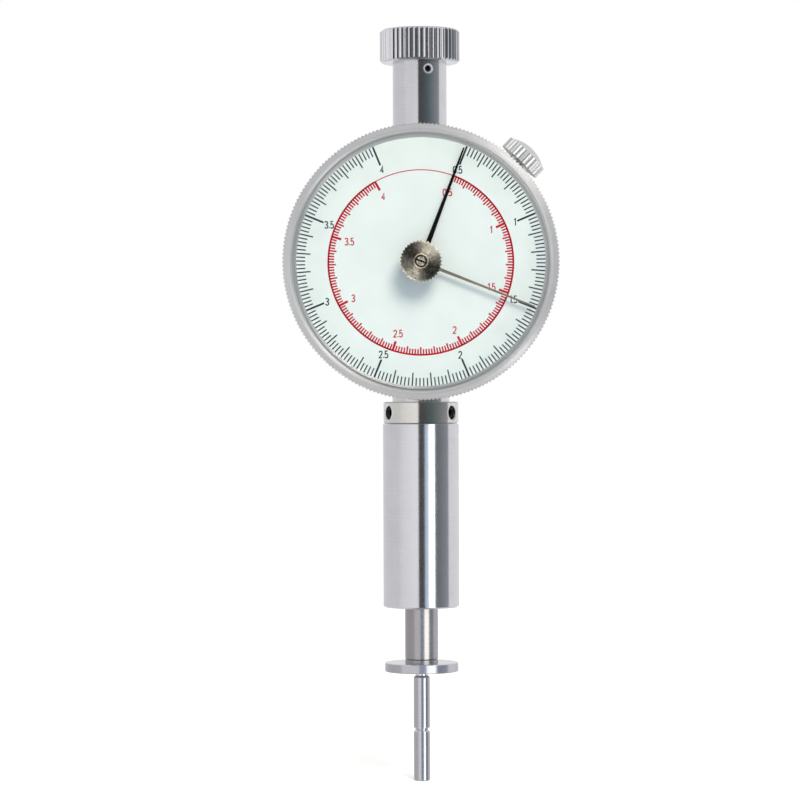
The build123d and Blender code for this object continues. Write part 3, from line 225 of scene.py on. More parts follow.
# Colours of the metals, paints and inks
STEEL = (0.588, 0.588, 0.618)
WARM_STEEL = (0.605, 0.587, 0.567)
# A darker copy of the steel for the plunger: painted shade for its dim reflections
SHADED_STEEL = (0.3, 0.285, 0.3)
GROUND_STEEL = (0.62, 0.62, 0.667)
BRIGHT_STEEL = (0.62, 0.63, 0.65)
SPRING_STEEL = (0.434, 0.441, 0.455)
BLACK_OXIDE = (0.02, 0.02, 0.022)
BARE_STRIP = (0.15, 0.14, 0.128)
SATIN = (0.86, 0.86, 0.85)
RING = (0.56, 0.57, 0.58)
CASE_GREY = (0.5, 0.5, 0.49)
PLATING = (0.85, 0.85, 0.83)
BRASS = (0.72, 0.5, 0.22)
BARE_BRASS = (0.76, 0.63, 0.46)
NICKEL = (0.46, 0.444, 0.384)
DULL_NICKEL = (0.299, 0.2886, 0.2496)
GRIME = (0.03, 0.03, 0.03)
DIAL_ENAMEL = (0.77, 0.88, 0.897)
SPACER_PAINT = (0.6, 0.66, 0.7)
POINTER_ENAMEL = (0.002, 0.002, 0.003)
BLACK_INK = (0.026, 0.036, 0.066)
RED_INK = (0.52, 0.008, 0.036)
PAPER = (0.86, 0.86, 0.86)
BLACK = (0.0, 0.0, 0.0)
WHITE = (1.0, 1.0, 1.0)

# Colours of the lamps
WARM = (1.04, 1.0, 0.94)
STRAW = (1.0, 1.0, 0.88)
BLUE = (0.8, 0.95, 1.15)
DUSK = (0.75, 0.95, 1.15)

# Sockets of the node that mixes colours: its factor and two colours, and its result
MIX_INPUTS = (0, 6, 7)
MIX_RESULT = 2


class Graph:
    """Short ways to add nodes to a tree and link them."""

    def __init__(self, tree):
        self.tree = tree

    def node(self, kind, settings=None, **inputs):
        made = self.tree.nodes.new(kind)
        for name, value in (settings or {}).items():
            setattr(made, name, value)
        for name, value in inputs.items():
            self.feed(made.inputs[name.replace("_", " ")], value)
        return made

    def feed(self, socket, value):
        if isinstance(value, bpy.types.NodeSocket):
            self.tree.links.new(value, socket)
        else:
            socket.default_value = value

    def feed_all(self, sockets, values):
        for socket, value in zip(sockets, values):
            self.feed(socket, value)

    def math(self, operation, *values):
        made = self.node("ShaderNodeMath", {"operation": operation})
        self.feed_all(made.inputs, values)
        return made.outputs["Value"]

    def vector(self, operation, *values):
        made = self.node("ShaderNodeVectorMath", {"operation": operation})
        self.feed_all(made.inputs, values)
        return made.outputs

    def split(self, vector):
        return self.node("ShaderNodeSeparateXYZ", Vector=vector).outputs

    def coordinates(self, kind):
        return self.node("ShaderNodeTexCoord").outputs[kind]

    def noise(self, place, size, detail=2.0):
        made = self.node("ShaderNodeTexNoise", Vector=place, Scale=1 / size, Detail=detail)
        return made.outputs["Fac"]

    def spread(self, factor, low, high, start=0.3, end=0.7):
        """Map a factor between two ends to values between two others, held at the ends."""
        made = self.node(
            "ShaderNodeMapRange", Value=factor,
            From_Min=start, From_Max=end, To_Min=low, To_Max=high)
        return made.outputs["Result"]

    def between(self, share, low, high):
        """A value between two others, by a share from nought to one."""
        return self.spread(share, low, high, 0.0, 1.0)

    def ramp(self, value, stops):
        """A colour that changes with a value, through stops of value and colour."""
        first, last = stops[0][0], stops[-1][0]
        made = self.node("ShaderNodeValToRGB", Fac=self.spread(value, 0.0, 1.0, first, last))
        elements = made.color_ramp.elements
        for stop, _ in stops[1:-1]:
            elements.new((stop - first) / (last - first))
        for element, (_, colour) in zip(elements, stops):
            element.color = (*colour, 1.0)
        return made.outputs["Color"]

    def grey_ramp(self, value, stops):
        """A grey that changes with a value, through stops of value and share of white."""
        return self.ramp(value, [(stop, (share, share, share)) for stop, share in stops])

    def blend(self, factor, first, second):
        """A colour between two others."""
        made = self.node("ShaderNodeMix", {"data_type": "RGBA"})
        self.feed_all([made.inputs[index] for index in MIX_INPUTS], (factor, first, second))
        return made.outputs[MIX_RESULT]


class Look(Graph):
    """A material with one Principled shader, and the nodes that vary it over the surface."""

    def __init__(self, name, base, metallic, roughness):
        self.material = bpy.data.materials.new(name)
        self.material.use_nodes = True
        super().__init__(self.material.node_tree)
        self.shader = self.tree.nodes["Principled BSDF"]
        self.drive("Base Color", (*base, 1.0))
        self.drive("Metallic", metallic)
        self.drive("Roughness", roughness)

    def drive(self, socket, value):
        """Give one of the shader's sockets a constant, or link a node to it."""
        self.feed(self.shader.inputs[socket], value)

    def place(self, axes):
        """Position in a turned piece's own axes."""
        mapping = self.node(
            "ShaderNodeMapping", {"vector_type": "TEXTURE"}, Vector=self.coordinates("Object"),
            Location=axes.translation, Rotation=axes.to_euler())
        return mapping.outputs["Vector"]

    def around(self, place):
        """Distance from the turning axis, and place along it."""
        parts = self.split(place)
        flat = self.node("ShaderNodeCombineXYZ", X=parts["X"], Y=parts["Y"]).outputs["Vector"]
        return self.vector("LENGTH", flat)["Value"], parts["Z"]

    def tool_marks(self, reach, along):
        """Noise that runs round the turning axis and changes along the surface's profile."""
        path = self.math("MULTIPLY_ADD", along, MARK_SLOPE, reach)
        made = self.node(
            "ShaderNodeTexNoise", {"noise_dimensions": "1D"},
            W=path, Scale=1 / MARK_PITCH, Detail=MARK_DETAIL)
        return made.outputs["Fac"]

    def toned(self, colour, length, stops):
        """A colour darkened along a length, through stops of length and share."""
        return self.vector("MULTIPLY", colour, self.grey_ramp(length, stops))["Vector"]

    def rims(self, holes, radius, width):
        """One on a ring round each of some holes, and nought elsewhere."""
        stops = [
            (radius, 0.0), (radius + HOLE_EDGE, 1.0),
            (radius + width, 1.0), (radius + 2 * width, 0.0),
        ]
        rim = 0.0
        for hole in holes:
            reach, along = self.around(self.place(hole))
            outward = self.math("GREATER_THAN", along, 0.0)
            ring = self.math("MULTIPLY", self.grey_ramp(reach, stops), outward)
            rim = self.math("MAXIMUM", rim, ring)
        return rim

    def roughen(self, factor, roughness, shares):
        """Vary the roughness between two shares of it."""
        low, high = shares
        self.drive("Roughness", self.spread(factor, roughness * low, roughness * high))

    def bump(self, height, distance, strength):
        made = self.node("ShaderNodeBump", Height=height, Distance=distance, Strength=strength)
        self.drive("Normal", made.outputs["Normal"])

    def turned_tangent(self, axis, amount):
        """Reflections stretched across tool marks that run round an axis."""
        tangent = self.node("ShaderNodeTangent", {"direction_type": "RADIAL", "axis": axis})
        self.drive("Tangent", tangent.outputs["Tangent"])
        self.drive("Anisotropic", amount)
        self.drive("Anisotropic Rotation", QUARTER_TURN)


def shaded(base, share):
    """A colour made lighter or darker by a share."""
    return tuple(channel * share for channel in base)


def turned_metal(
        name, base, axes, roughness, metallic=1.0, axis=None, streak=0.0, speck=0.2 * MM, blotch=4 * MM,
        depth=0.004 * MM, mottle=0.05, rings=None, levels=None, holes=(), hole_r=0.0, rim_w=HOLE_HIGHLIGHT,
        rim_colour=WHITE, rim_metallic=0.0):
    """Turned metal: fine tool marks round the axis, grit and handling marks, and stretched reflections.

    Specks of grit and blotches have a size, marks a depth, and the mottling is a share of the colour.
    Rings and levels are stops of radius or place along the axis, with the share of the colour left there.
    Holes have a rim of its own colour: white by default, a painted highlight on the countersink.
    """
    look = Look(name, base, metallic, roughness)
    place = look.place(axes)
    reach, along = look.around(place)
    marks = look.tool_marks(reach, along)
    grit = look.noise(place, speck)
    clouds = look.noise(place, blotch, CLOUD_DETAIL)
    fine = look.math("MULTIPLY_ADD", marks, MARK_SHARE, look.math("MULTIPLY", grit, GRIT_SHARE))
    mixed = look.math("MULTIPLY_ADD", clouds, CLOUD_SHARE, fine)
    dark, light = shaded(base, 1 - mottle), shaded(base, 1 + mottle)
    colour = look.ramp(mixed, [(METAL_DARK, dark), (METAL_LIGHT, light)])
    if rings:
        colour = look.toned(colour, reach, rings)
    if levels:
        colour = look.toned(colour, along, levels)
    if holes:
        rim = look.rims(holes, hole_r, rim_w)
        colour = look.blend(rim, colour, (*rim_colour, 1.0))
        look.drive("Metallic", look.between(rim, metallic, rim_metallic))
    look.drive("Base Color", colour)
    look.roughen(mixed, roughness, METAL_ROUGHNESS)
    look.bump(fine, depth, METAL_BUMP)
    if axis:
        look.turned_tangent(axis, streak)
    return look.material


def painted(name, base, roughness, blotch, depth, gloss=0.5):
    """Enamel, paint or ink: faint mottling and a slight orange peel."""
    look = Look(name, base, 0.0, roughness)
    look.drive("Specular IOR Level", gloss)
    place = look.place(BARREL)
    clouds = look.noise(place, blotch, PAINT_DETAIL)
    shades = [(stop, shaded(base, share)) for stop, share in zip(PAINT_STOPS, PAINT_SHADES)]
    look.drive("Base Color", look.ramp(clouds, shades))
    look.roughen(clouds, roughness, PAINT_ROUGHNESS)
    look.bump(look.noise(place, PEEL_SIZE), depth, PEEL_BUMP)
    return look.material


def clear_glass(name):
    """Clear window that lets lamps through to the dial, with a trace of dust in its gloss."""
    look = Look(name, WHITE, 0.0, 0.0)
    look.drive("Transmission Weight", 1.0)
    look.drive("IOR", GLASS_IOR)
    dust = look.noise(look.place(DIAL), DUST_SIZE, CLOUD_DETAIL)
    look.drive("Roughness", look.spread(dust, 0.0, DUST_ROUGHNESS))
    path = look.node("ShaderNodeLightPath").outputs
    lamp_light = look.math("MAXIMUM", path["Is Shadow Ray"], path["Is Diffuse Ray"])
    clear = look.node("ShaderNodeBsdfTransparent").outputs["BSDF"]
    mix = look.node("ShaderNodeMixShader")
    look.feed_all(mix.inputs, (lamp_light, look.shader.outputs["BSDF"], clear))
    look.feed(look.tree.nodes["Material Output"].inputs["Surface"], mix.outputs["Shader"])
    return look.material


# Tones round the turned pieces: painted shade and light on the window ring's bevel and groove, painted
# shade in the lock knob's knurl and the reset knob's recess, a darker outer band on the bezel, and screws
# darker down in their slots
# The bezel is darker beyond its inner land
BEZEL_RINGS = [(27.28 * MM, 1.0), (27.36 * MM, 0.8)]
# Painted shade on the window ring's bevel, and painted light in the groove round it
RING_RINGS = [(26.2 * MM, 1.0), (26.45 * MM, 0.84), (26.8 * MM, 0.84), (26.86 * MM, 1.5)]
# Painted shade in the valleys of the lock knob's knurl; nearer the axis the colour is a little darker than
# at the crests
LOCK_RINGS = [(4.5 * MM, 0.75), (4.56 * MM, 0.5), (4.64 * MM, 0.5), (4.76 * MM, 1.0)]
HUB_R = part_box("reset_knob")[1].x
# Painted shade in the reset knob's recess round the screw; its face is darker than the recess's edge and
# the knurl
HUB_RINGS = [
    (1.28 * MM, 0.075), (1.32 * MM, 0.5), (1.58 * MM, 0.5), (1.64 * MM, 0.28),
    (HUB_R - HUB_FACE_IN, 0.28), (HUB_R - HUB_KNURL_IN, 0.6),
]
SCREW_FRONT = -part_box("reset_screw")[0].y
RESET_SLOTS = [(SCREW_FRONT - RESET_SLOT_DEEP, SLOT_FLOOR_SHARE), (SCREW_FRONT - RESET_SLOT_EDGE, 1.0)]
COVER_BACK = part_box("back_cover")[1].y
COVER_SLOTS = [(COVER_BACK - COVER_SLOT_DEEP, SLOT_FLOOR_SHARE), (COVER_BACK - COVER_SLOT_EDGE, 1.0)]
FLANGE_FOOT, FLANGE_TOP = (corner.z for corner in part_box("stop_flange"))
GROOVE_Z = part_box("probe_pin")[0].z + GROOVE_UP
# Bands of painted light: the depth groove, the neck under the flange, and a painted highlight on the
# flange's top edge
PAINTED_LIGHT_BANDS = (
    (GROOVE_Z - GROOVE_HALF, GROOVE_Z + GROOVE_HALF),
    (FLANGE_FOOT - PROBE_NECK, FLANGE_FOOT - LEVEL_EDGE),
    (FLANGE_TOP - LEVEL_EDGE, FLANGE_TOP + LEVEL_EDGE),
)
PROBE_LIGHT_LEVELS = []
for low, high in PAINTED_LIGHT_BANDS:
    PROBE_LIGHT_LEVELS += [(low - LEVEL_EDGE, OUTSIDE_BAND_SHARE), (low, 1.0)]
    PROBE_LIGHT_LEVELS += [(high, 1.0), (high + LEVEL_EDGE, OUTSIDE_BAND_SHARE)]

# Holes that have a rim: a painted white highlight round the set screws, and a dark seam round the screws of
# the back cover
STEM_HOLES = [hole_axes("stem_set_screw", STEM_HOLE_AZIMUTH)]
COLLAR_HOLES = [hole_axes("collar_set_screws", azimuth) for azimuth in COLLAR_HOLE_AZIMUTHS]
COVER_SCREW_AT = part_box("back_cover_screws")[1].x - COVER_HEAD_R
COVER_HOLES = [
    REAR @ Matrix.Translation((x, y, 0))
    for x in (-COVER_SCREW_AT, COVER_SCREW_AT) for y in (-COVER_SCREW_AT, COVER_SCREW_AT)
]

looks = {
    "barrel": turned_metal("barrel_steel", STEEL, BARREL, roughness=0.17, axis="Z", streak=0.5),
    # The stem and collar get a painted white highlight round their screw holes
    "stem": turned_metal(
        "stem_steel", STEEL, BARREL, roughness=0.17, axis="Z", streak=0.5,
        holes=STEM_HOLES, hole_r=STEM_HOLE_R),
    "collar": turned_metal(
        "collar_steel", WARM_STEEL, BARREL, roughness=0.17, axis="Z", streak=0.5,
        holes=COLLAR_HOLES, hole_r=COLLAR_HOLE_R),
    # The plunger's steel is a darker copy, painted shade
    "plunger": turned_metal(
        "shaded_steel", SHADED_STEEL, BARREL, roughness=0.25, axis="Z", streak=0.4, depth=0.01 * MM),
    # The probe and flange carry bands of painted light
    "probe": turned_metal(
        "ground_steel", GROUND_STEEL, BARREL, roughness=0.2, axis="Z", streak=0.4,
        levels=PROBE_LIGHT_LEVELS),
    "knob": turned_metal("knob_steel", STEEL, BARREL, roughness=0.14),
    "lock": turned_metal(
        "lock_plating", PLATING, LOCK, roughness=0.3, metallic=0.7, depth=0.001 * MM, mottle=0.02,
        rings=LOCK_RINGS),
    "satin": turned_metal(
        "satin_plating", CASE_GREY, DIAL, roughness=0.42, metallic=0.8, axis="Y", streak=0.8),
    "cover": turned_metal(
        "cover_plating", CASE_GREY, DIAL, roughness=0.38, metallic=0.8, axis="Y", streak=0.9,
        holes=COVER_HOLES, hole_r=COVER_HEAD_R - SEAM, rim_w=SEAM, rim_colour=GRIME),
    "cover_screw": turned_metal(
        "cover_screws", BRIGHT_STEEL, REAR, roughness=0.25, levels=COVER_SLOTS),
    "bezel": turned_metal(
        "bezel_plating", SATIN, DIAL, roughness=0.45, metallic=0.7, axis="Y", streak=0.9,
        depth=0.002 * MM, rings=BEZEL_RINGS),
    "ring": turned_metal(
        "ring_plating", RING, DIAL, roughness=0.45, metallic=0.7, axis="Y", streak=0.9,
        depth=0.002 * MM, rings=RING_RINGS),
    "bright": turned_metal("bright_steel", BRIGHT_STEEL, BARREL, roughness=0.22),
    "spring": turned_metal("spring_steel", SPRING_STEEL, BARREL, roughness=0.3),
    "brass": turned_metal("turned_brass", BRASS, BARREL, roughness=0.28),
    "nickel": turned_metal(
        "nickel_face", NICKEL, DIAL, roughness=0.25, axis="Y", streak=0.95, speck=0.5 * MM,
        blotch=0.9 * MM, mottle=0.5, rings=HUB_RINGS, holes=(DIAL,), hole_r=HUB_HOLE_R,
        rim_w=HUB_RIM, rim_colour=BARE_BRASS, rim_metallic=0.9),
    "screw": turned_metal(
        "nickel_screw", DULL_NICKEL, DIAL, roughness=0.25, speck=0.4 * MM, blotch=0.7 * MM,
        mottle=0.8, levels=RESET_SLOTS),
    "black_oxide": turned_metal("black_oxide", BLACK_OXIDE, BARREL, roughness=0.4, metallic=0.6),
    "silver": turned_metal("bare_strip", BARE_STRIP, DIAL, roughness=0.5, metallic=0.3),
    "dial": painted(
        "dial_enamel", DIAL_ENAMEL, roughness=0.5, blotch=5 * MM, depth=0.002 * MM, gloss=0.2),
    "spacer": painted(
        "spacer_paint", SPACER_PAINT, roughness=0.5, blotch=3 * MM, depth=0.004 * MM),
    "pointer_black": painted(
        "pointer_enamel", POINTER_ENAMEL, roughness=0.6, blotch=1 * MM, depth=0.003 * MM, gloss=0.0),
    "print_black": painted(
        "black_ink", BLACK_INK, roughness=0.6, blotch=0.6 * MM, depth=0.002 * MM, gloss=0.1),
    "print_red": painted(
        "red_ink", RED_INK, roughness=0.6, blotch=0.6 * MM, depth=0.002 * MM, gloss=0.1),
    "glass": clear_glass("window_glass"),
}

# Which nodes have which look
FINISHES = {
    "barrel": ("spring_sleeve", "lower_stem"),
    "stem": ("upper_stem",),
    "collar": ("collar",),
    "plunger": ("plunger",),
    "probe": ("stop_flange", "probe_pin"),
    "knob": ("top_knob",),
    "lock": ("lock_knob",),
    "satin": ("case_body",),
    "cover": ("back_cover",),
    "cover_screw": ("back_cover_screws",),
    "bezel": ("bezel",),
    "ring": ("window_ring",),
    "bright": (
        "plate_screws", "guide_screws", "rack_screws", "rack_rod", "guide_pin", "pinion_arbor",
        "reset_shaft", "spring_seat", "lock_stud",
    ),
    "spring": ("main_spring", "snap_ring", "seat_clip", "friction_washer"),
    "brass": (
        "upper_guide_bush", "lower_guide_bush", "plunger_bush", "movement_plate", "arbor_bush",
        "guide_block", "rack_plate", "drive_hub", "reset_bush",
    ),
    "nickel": ("reset_knob",),
    "screw": ("reset_screw",),
    "black_oxide": ("stem_set_screw", "collar_set_screws"),
    "silver": ("peak_pointer",),
    "dial": ("dial_plate",),
    "spacer": ("dial_spacer",),
    "pointer_black": ("drive_pointer", "carry_pin"),
    "glass": ("window",),
}
for look_name, nodes in FINISHES.items():
    for node in nodes:
        frame["nodes"][node].material_slots[0].material = looks[look_name]


def link_in(item):
    """Put an object into the scene."""
    bpy.context.scene.collection.objects.link(item)
    return item


def add_mesh(name, shape, material):
    """An object made from a bmesh, with one material."""
    mesh = bpy.data.meshes.new(name)
    shape.to_mesh(mesh)
    shape.free()
    mesh.materials.append(material)
    return link_in(bpy.data.objects.new(name, mesh))


# Main spring: its own copy of the coil, which stays with the case
coil = link_in(bpy.data.objects.new("spring_coil", frame["nodes"]["main_spring"].data.copy()))
coil.data.materials[0] = looks["spring"]
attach(coil, "case")
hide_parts("main_spring")
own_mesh(coil)

# Printed dial: thin raised ink on the dial plate
DIAL_FRONT = -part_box("dial_plate")[0].y
INK_BACK = DIAL_FRONT - PRINT_SINK
INK_FRONT = DIAL_FRONT + PRINT_LIFT


def on_dial(angle, reach):
    """A point of the dial, in its own axes, at a clock angle and a distance from the middle."""
    return Vector((reach * sin(radians(angle)), reach * cos(radians(angle)), 0.0))


def scale_angle(reading, unit):
    """Clock angle of a reading in a scale's unit."""
    share = (reading * unit - SCALE_START) / (SCALE_END - SCALE_START)
    return SCALE_FIRST + SCALE_SWEEP * share


def add_ribbon(shape, points, width):
    """A closed band of ink along a line of points, or a ring where the line ends at its start."""
    legs = [(end - start).normalized() for start, end in zip(points, points[1:])]
    ring = (points[0] - points[-1]).length < PRINT_SINK
    if ring:
        points = points[:-1]
        legs = [legs[-1]] + legs
    else:
        legs = [legs[0]] + legs + [legs[-1]]
    rims = []
    for point, leg, after in zip(points, legs, legs[1:]):
        way = (leg + after).normalized()
        aside = Vector((-way.y, way.x, 0)) * width / 2 / max(way.dot(leg), SHARPEST_BEND)
        left, right = point - aside, point + aside
        corners = [(left, INK_BACK), (right, INK_BACK), (right, INK_FRONT), (left, INK_FRONT)]
        rims.append([shape.verts.new((corner.x, corner.y, level)) for corner, level in corners])
    if ring:
        rims.append(rims[0])
    else:
        shape.faces.new(rims[0])
        shape.faces.new(rims[-1])
    for near, far in zip(rims, rims[1:]):
        for side in range(4):
            shape.faces.new((near[side - 1], near[side], far[side], far[side - 1]))


def add_arc(shape, start, end, reach, width):
    """A band of ink along a circle, clockwise from one clock angle to another."""
    count = round((end - start) / ARC_STEP)
    angles = [start + (end - start) * step / count for step in range(count + 1)]
    add_ribbon(shape, [on_dial(angle, reach) for angle in angles], width)


def print_on_dial(name, shape, ink):
    """A piece of ink in the dial's axes, which turns with the bezel."""
    bmesh.ops.recalc_face_normals(shape, faces=shape.faces)
    piece = add_mesh(name, shape, looks[ink])
    piece.matrix_world = DIAL
    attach(piece, "bezel")


def print_ticks(name, ink, reach, ticks, unit, circle=None):
    """All ticks of a scale, and a circle where it has one: its line along the scale and across the gap."""
    shape = bmesh.new()
    for index in range(SCALE_STEPS * DIVISIONS + 1):
        kind = "minor"
        if index % DIVISIONS == 0:
            kind = "major"
        elif index % MIDDLE_EVERY == 0:
            kind = "middle"
        length, width = ticks[kind]
        angle = scale_angle(SCALE_START + SCALE_STEP * index / DIVISIONS, unit)
        add_ribbon(shape, [on_dial(angle, reach), on_dial(angle, reach - length)], width)
    if circle:
        scale_line, gap_line = circle
        first, last = scale_angle(SCALE_START, unit), scale_angle(SCALE_END, unit)
        add_arc(shape, first, last, reach, scale_line)
        add_arc(shape, last, first + 360, reach, gap_line)
    print_on_dial(name, shape, ink)


def number_strokes(number):
    """Strokes of a number from its lower left corner, and its width."""
    strokes = []
    pen = 0.0
    for sign in f"{number:g}":
        for stroke in STROKES[sign]:
            strokes.append([Vector((pen + x * DIGIT_WIDE, y * DIGIT_HIGH, 0)) for x, y in stroke])
        pen = max(point.x for stroke in strokes for point in stroke) + DIGIT_GAP
    return strokes, pen - DIGIT_GAP


def print_numbers(name, ink, reach, unit):
    """Plain numbers of a scale, upright and just inside a circle."""
    shape = bmesh.new()
    for step in range(SCALE_STEPS + 1):
        reading = SCALE_START + SCALE_STEP * step
        strokes, wide = number_strokes(reading)
        way = on_dial(scale_angle(reading, unit), 1.0)
        half = (abs(way.x) * (wide + DIGIT_LINE) + abs(way.y) * (DIGIT_HIGH + DIGIT_LINE)) / 2
        corner = (reach - half) * way - Vector((wide / 2, DIGIT_HIGH / 2, 0))
        for stroke in strokes:
            add_ribbon(shape, [corner + point for point in stroke], DIGIT_LINE)
    print_on_dial(name, shape, ink)


print_ticks("black_ticks", "print_black", BLACK_TICK_R, BLACK_TICKS, BLACK_UNIT)
print_ticks("red_ticks", "print_red", RED_TICK_R, RED_TICKS, RED_UNIT, (RED_LINE, RED_TOP_LINE))
print_numbers("black_numbers", "print_black", BLACK_NUMBER_R, BLACK_UNIT)
print_numbers("red_numbers", "print_red", RED_NUMBER_R, RED_UNIT)

# Studio: a white room, dark at the front right, with soft strips and panels that only some pieces mirror
SCREEN_R = 0.55
SCREEN_LOW = -0.3
SCREEN_HIGH = 0.3
LAMP_R = 0.5


def node_group(name, nodes, state):
    """A collection that a lamp uses to light or leave out some nodes."""
    group = bpy.data.collections.new(name)
    for node in nodes:
        group.objects.link(frame["nodes"][node])
    for member in group.collection_objects:
        member.light_linking.link_state = state
    return group


def add_screen(name, stops):
    """A curved screen seen only in reflections, graded through stops of azimuth and colour."""
    first, last = stops[0][0], stops[-1][0]
    count = round(last - first)
    shape = bmesh.new()
    rims = []
    for step in range(count + 1):
        azimuth = first + step * (last - first) / count
        ends = [at_azimuth(azimuth, SCREEN_R, height) for height in (SCREEN_LOW, SCREEN_HIGH)]
        rims.append([shape.verts.new(end) for end in ends])
    for near, far in zip(rims, rims[1:]):
        shape.faces.new((near[0], far[0], far[1], near[1]))
    look = Look(name, BLACK, 0.0, 1.0)
    look.drive("Specular IOR Level", 0.0)
    look.drive("Emission Strength", 1.0)
    spot = look.split(look.coordinates("Object"))
    turn = look.math("ARCTAN2", spot["X"], look.math("MULTIPLY", spot["Y"], -1.0))
    grades = [(radians(azimuth), colour) for azimuth, colour in stops]
    look.drive("Emission Color", look.ramp(turn, grades))
    screen = add_mesh(name, shape, look.material)
    screen.visible_camera = False
    screen.visible_diffuse = False
    screen.visible_shadow = False


def add_panel(name, colour, level, size, axes, nodes):
    """A soft rectangular lamp that lights only some pieces: it shines along its own -Z."""
    lamp = bpy.data.lights.new(name, "AREA")
    lamp.shape = "RECTANGLE"
    lamp.size, lamp.size_y = size
    lamp.color = colour
    lamp.energy = level * pi * lamp.size * lamp.size_y
    panel = link_in(bpy.data.objects.new(name, lamp))
    panel.matrix_world = axes
    panel.visible_camera = False
    panel.light_linking.receiver_collection = node_group(name, nodes, "INCLUDE")


def add_strip(name, colour, level, start, end, node):
    """A tall strip between two azimuths that one upright piece mirrors."""
    size = (2 * LAMP_R * tan(radians((end - start) / 2)), SCREEN_HIGH - SCREEN_LOW)
    azimuth = (start + end) / 2
    place = Matrix.Translation(at_azimuth(azimuth, LAMP_R, (SCREEN_HIGH + SCREEN_LOW) / 2))
    upright = Matrix.Rotation(radians(azimuth), 4, "Z") @ Matrix.Rotation(pi / 2, 4, "X")
    add_panel(name, colour, level, size, place @ upright, (node,))


def above(face, clock, tilt):
    """Axes over a face, at a clock angle and tilted from its axis: local Y runs on away from it."""
    turned = face @ Matrix.Rotation(radians(-clock), 4, "Z") @ Matrix.Rotation(radians(-tilt), 4, "X")
    return turned @ Matrix.Translation((0, 0, LAMP_R))


# Dark side of the studio, from the front to the right
add_screen("dark_screen", [
    (-8.0, (0.08, 0.07, 0.065)),
    (12.0, (0.1, 0.11, 0.11)),
    (34.0, (0.12, 0.17, 0.185)),
    (60.0, (0.25, 0.265, 0.275)),
    (89.0, (0.38, 0.4, 0.42)),
])

# Strips by piece: colour, level, and the azimuths that each one spans
STRIPS = {
    "spring_sleeve": [
        (BLUE, 0.75, 10.5, 22.0),
        (WHITE, 2.2, 22.0, 41.0),
        (WHITE, 1.8, 164.0, 182.0),
        (BLUE, 0.35, 182.0, 198.0),
    ],
    "plunger": [
        (WHITE, 0.5, -50.0, -8.0),
        (BLUE, 0.6, -8.0, 18.5),
        (STRAW, 3.4, 18.5, 52.0),
        (DUSK, 0.3, 52.0, 89.0),
        (WHITE, 0.25, 90.0, 130.0),
        (STRAW, 2.4, 164.0, 186.0),
    ],
    "stop_flange": [
        (WHITE, 0.3, -65.0, -8.0),
        (BLUE, 0.62, -8.0, 15.0),
        (WHITE, 2.5, 15.0, 46.0),
        (DUSK, 0.25, 46.0, 89.0),
        (WHITE, 0.25, 90.0, 130.0),
    ],
    "probe_pin": [
        (WHITE, 0.5, -50.0, -8.0),
        (BLUE, 0.45, -8.0, 26.0),
        (WHITE, 2.6, 26.0, 57.0),
        (WHITE, 2.0, 164.0, 186.0),
    ],
    "upper_stem": [(WHITE, 1.2, 164.0, 184.0)],
    "top_knob": [(WHITE, 0.25, -70.0, -15.0)],
}
for piece, strips in STRIPS.items():
    for index, strip in enumerate(strips):
        add_strip(f"{piece}_strip_{index}", *strip, piece)

# Panels for the bezel, the reset knob, the lock knob and the back: colour, level, width and length, the
# face that they stand over with their clock angle and tilt there, and the pieces that they light
RIMS = ("bezel", "window_ring")
HUB = ("reset_knob", "reset_screw")
BACK = ("back_cover", "back_cover_screws")
PANELS = {
    "head_light": (WARM, 2.8, (0.16, 0.5), above(DIAL, 42.0, 45.0), RIMS),
    "head_fill": (WHITE, 2.3, (0.14, 0.4), above(DIAL, 130.0, 55.0), RIMS),
    "head_front": (WHITE, 0.4, (0.5, 0.5), above(DIAL, 0.0, 0.0), RIMS),
    "hub_light": (WARM, 6.4, (0.2, 0.4), above(DIAL, 34.0, 30.0), HUB),
    "hub_fill": (WARM, 5.0, (0.18, 0.4), above(DIAL, 208.0, 32.0), HUB),
    "lock_light": (WHITE, 1.6, (0.5, 0.5), above(DIAL, 60.0, 20.0), ("lock_knob",)),
    "back_light": (WARM, 2.6, (0.14, 0.5), above(REAR, 35.0, 45.0), BACK),
    "back_fill": (WHITE, 1.6, (0.12, 0.4), above(REAR, 125.0, 55.0), BACK),
}
for name, panel in PANELS.items():
    add_panel(name, *panel)

# Key: lights the dial through the window, while the metal takes its light from the strips, panels and room
KEY_FROM = Vector((0.239, -0.789, 0.568))
KEY_ANGLE = 26.0
KEY_LEVEL = 1.95
KEY_COLOUR = (1.12, 1.0, 0.8)
BRIGHT_METAL = (
    "barrel", "stem", "collar", "plunger", "probe", "knob", "lock", "satin", "cover", "bezel", "ring",
    "nickel", "screw",
)
ROUND_THE_DIAL = ("bezel", "window_ring", "window", "dial_spacer")
unlit = [node for look_name in BRIGHT_METAL for node in FINISHES[look_name]]
without_key = node_group("without_key", unlit, "EXCLUDE")
without_shadow = node_group("without_shadow", ROUND_THE_DIAL, "EXCLUDE")
key = bpy.data.lights.new("key", "SUN")
key.energy = KEY_LEVEL
key.color = KEY_COLOUR
key.angle = radians(KEY_ANGLE)
key_lamp = link_in(bpy.data.objects.new("key", key))
key_lamp.rotation_euler = (-KEY_FROM).to_track_quat("-Z", "Y").to_euler()
key_lamp.light_linking.receiver_collection = without_key
key_lamp.light_linking.blocker_collection = without_shadow

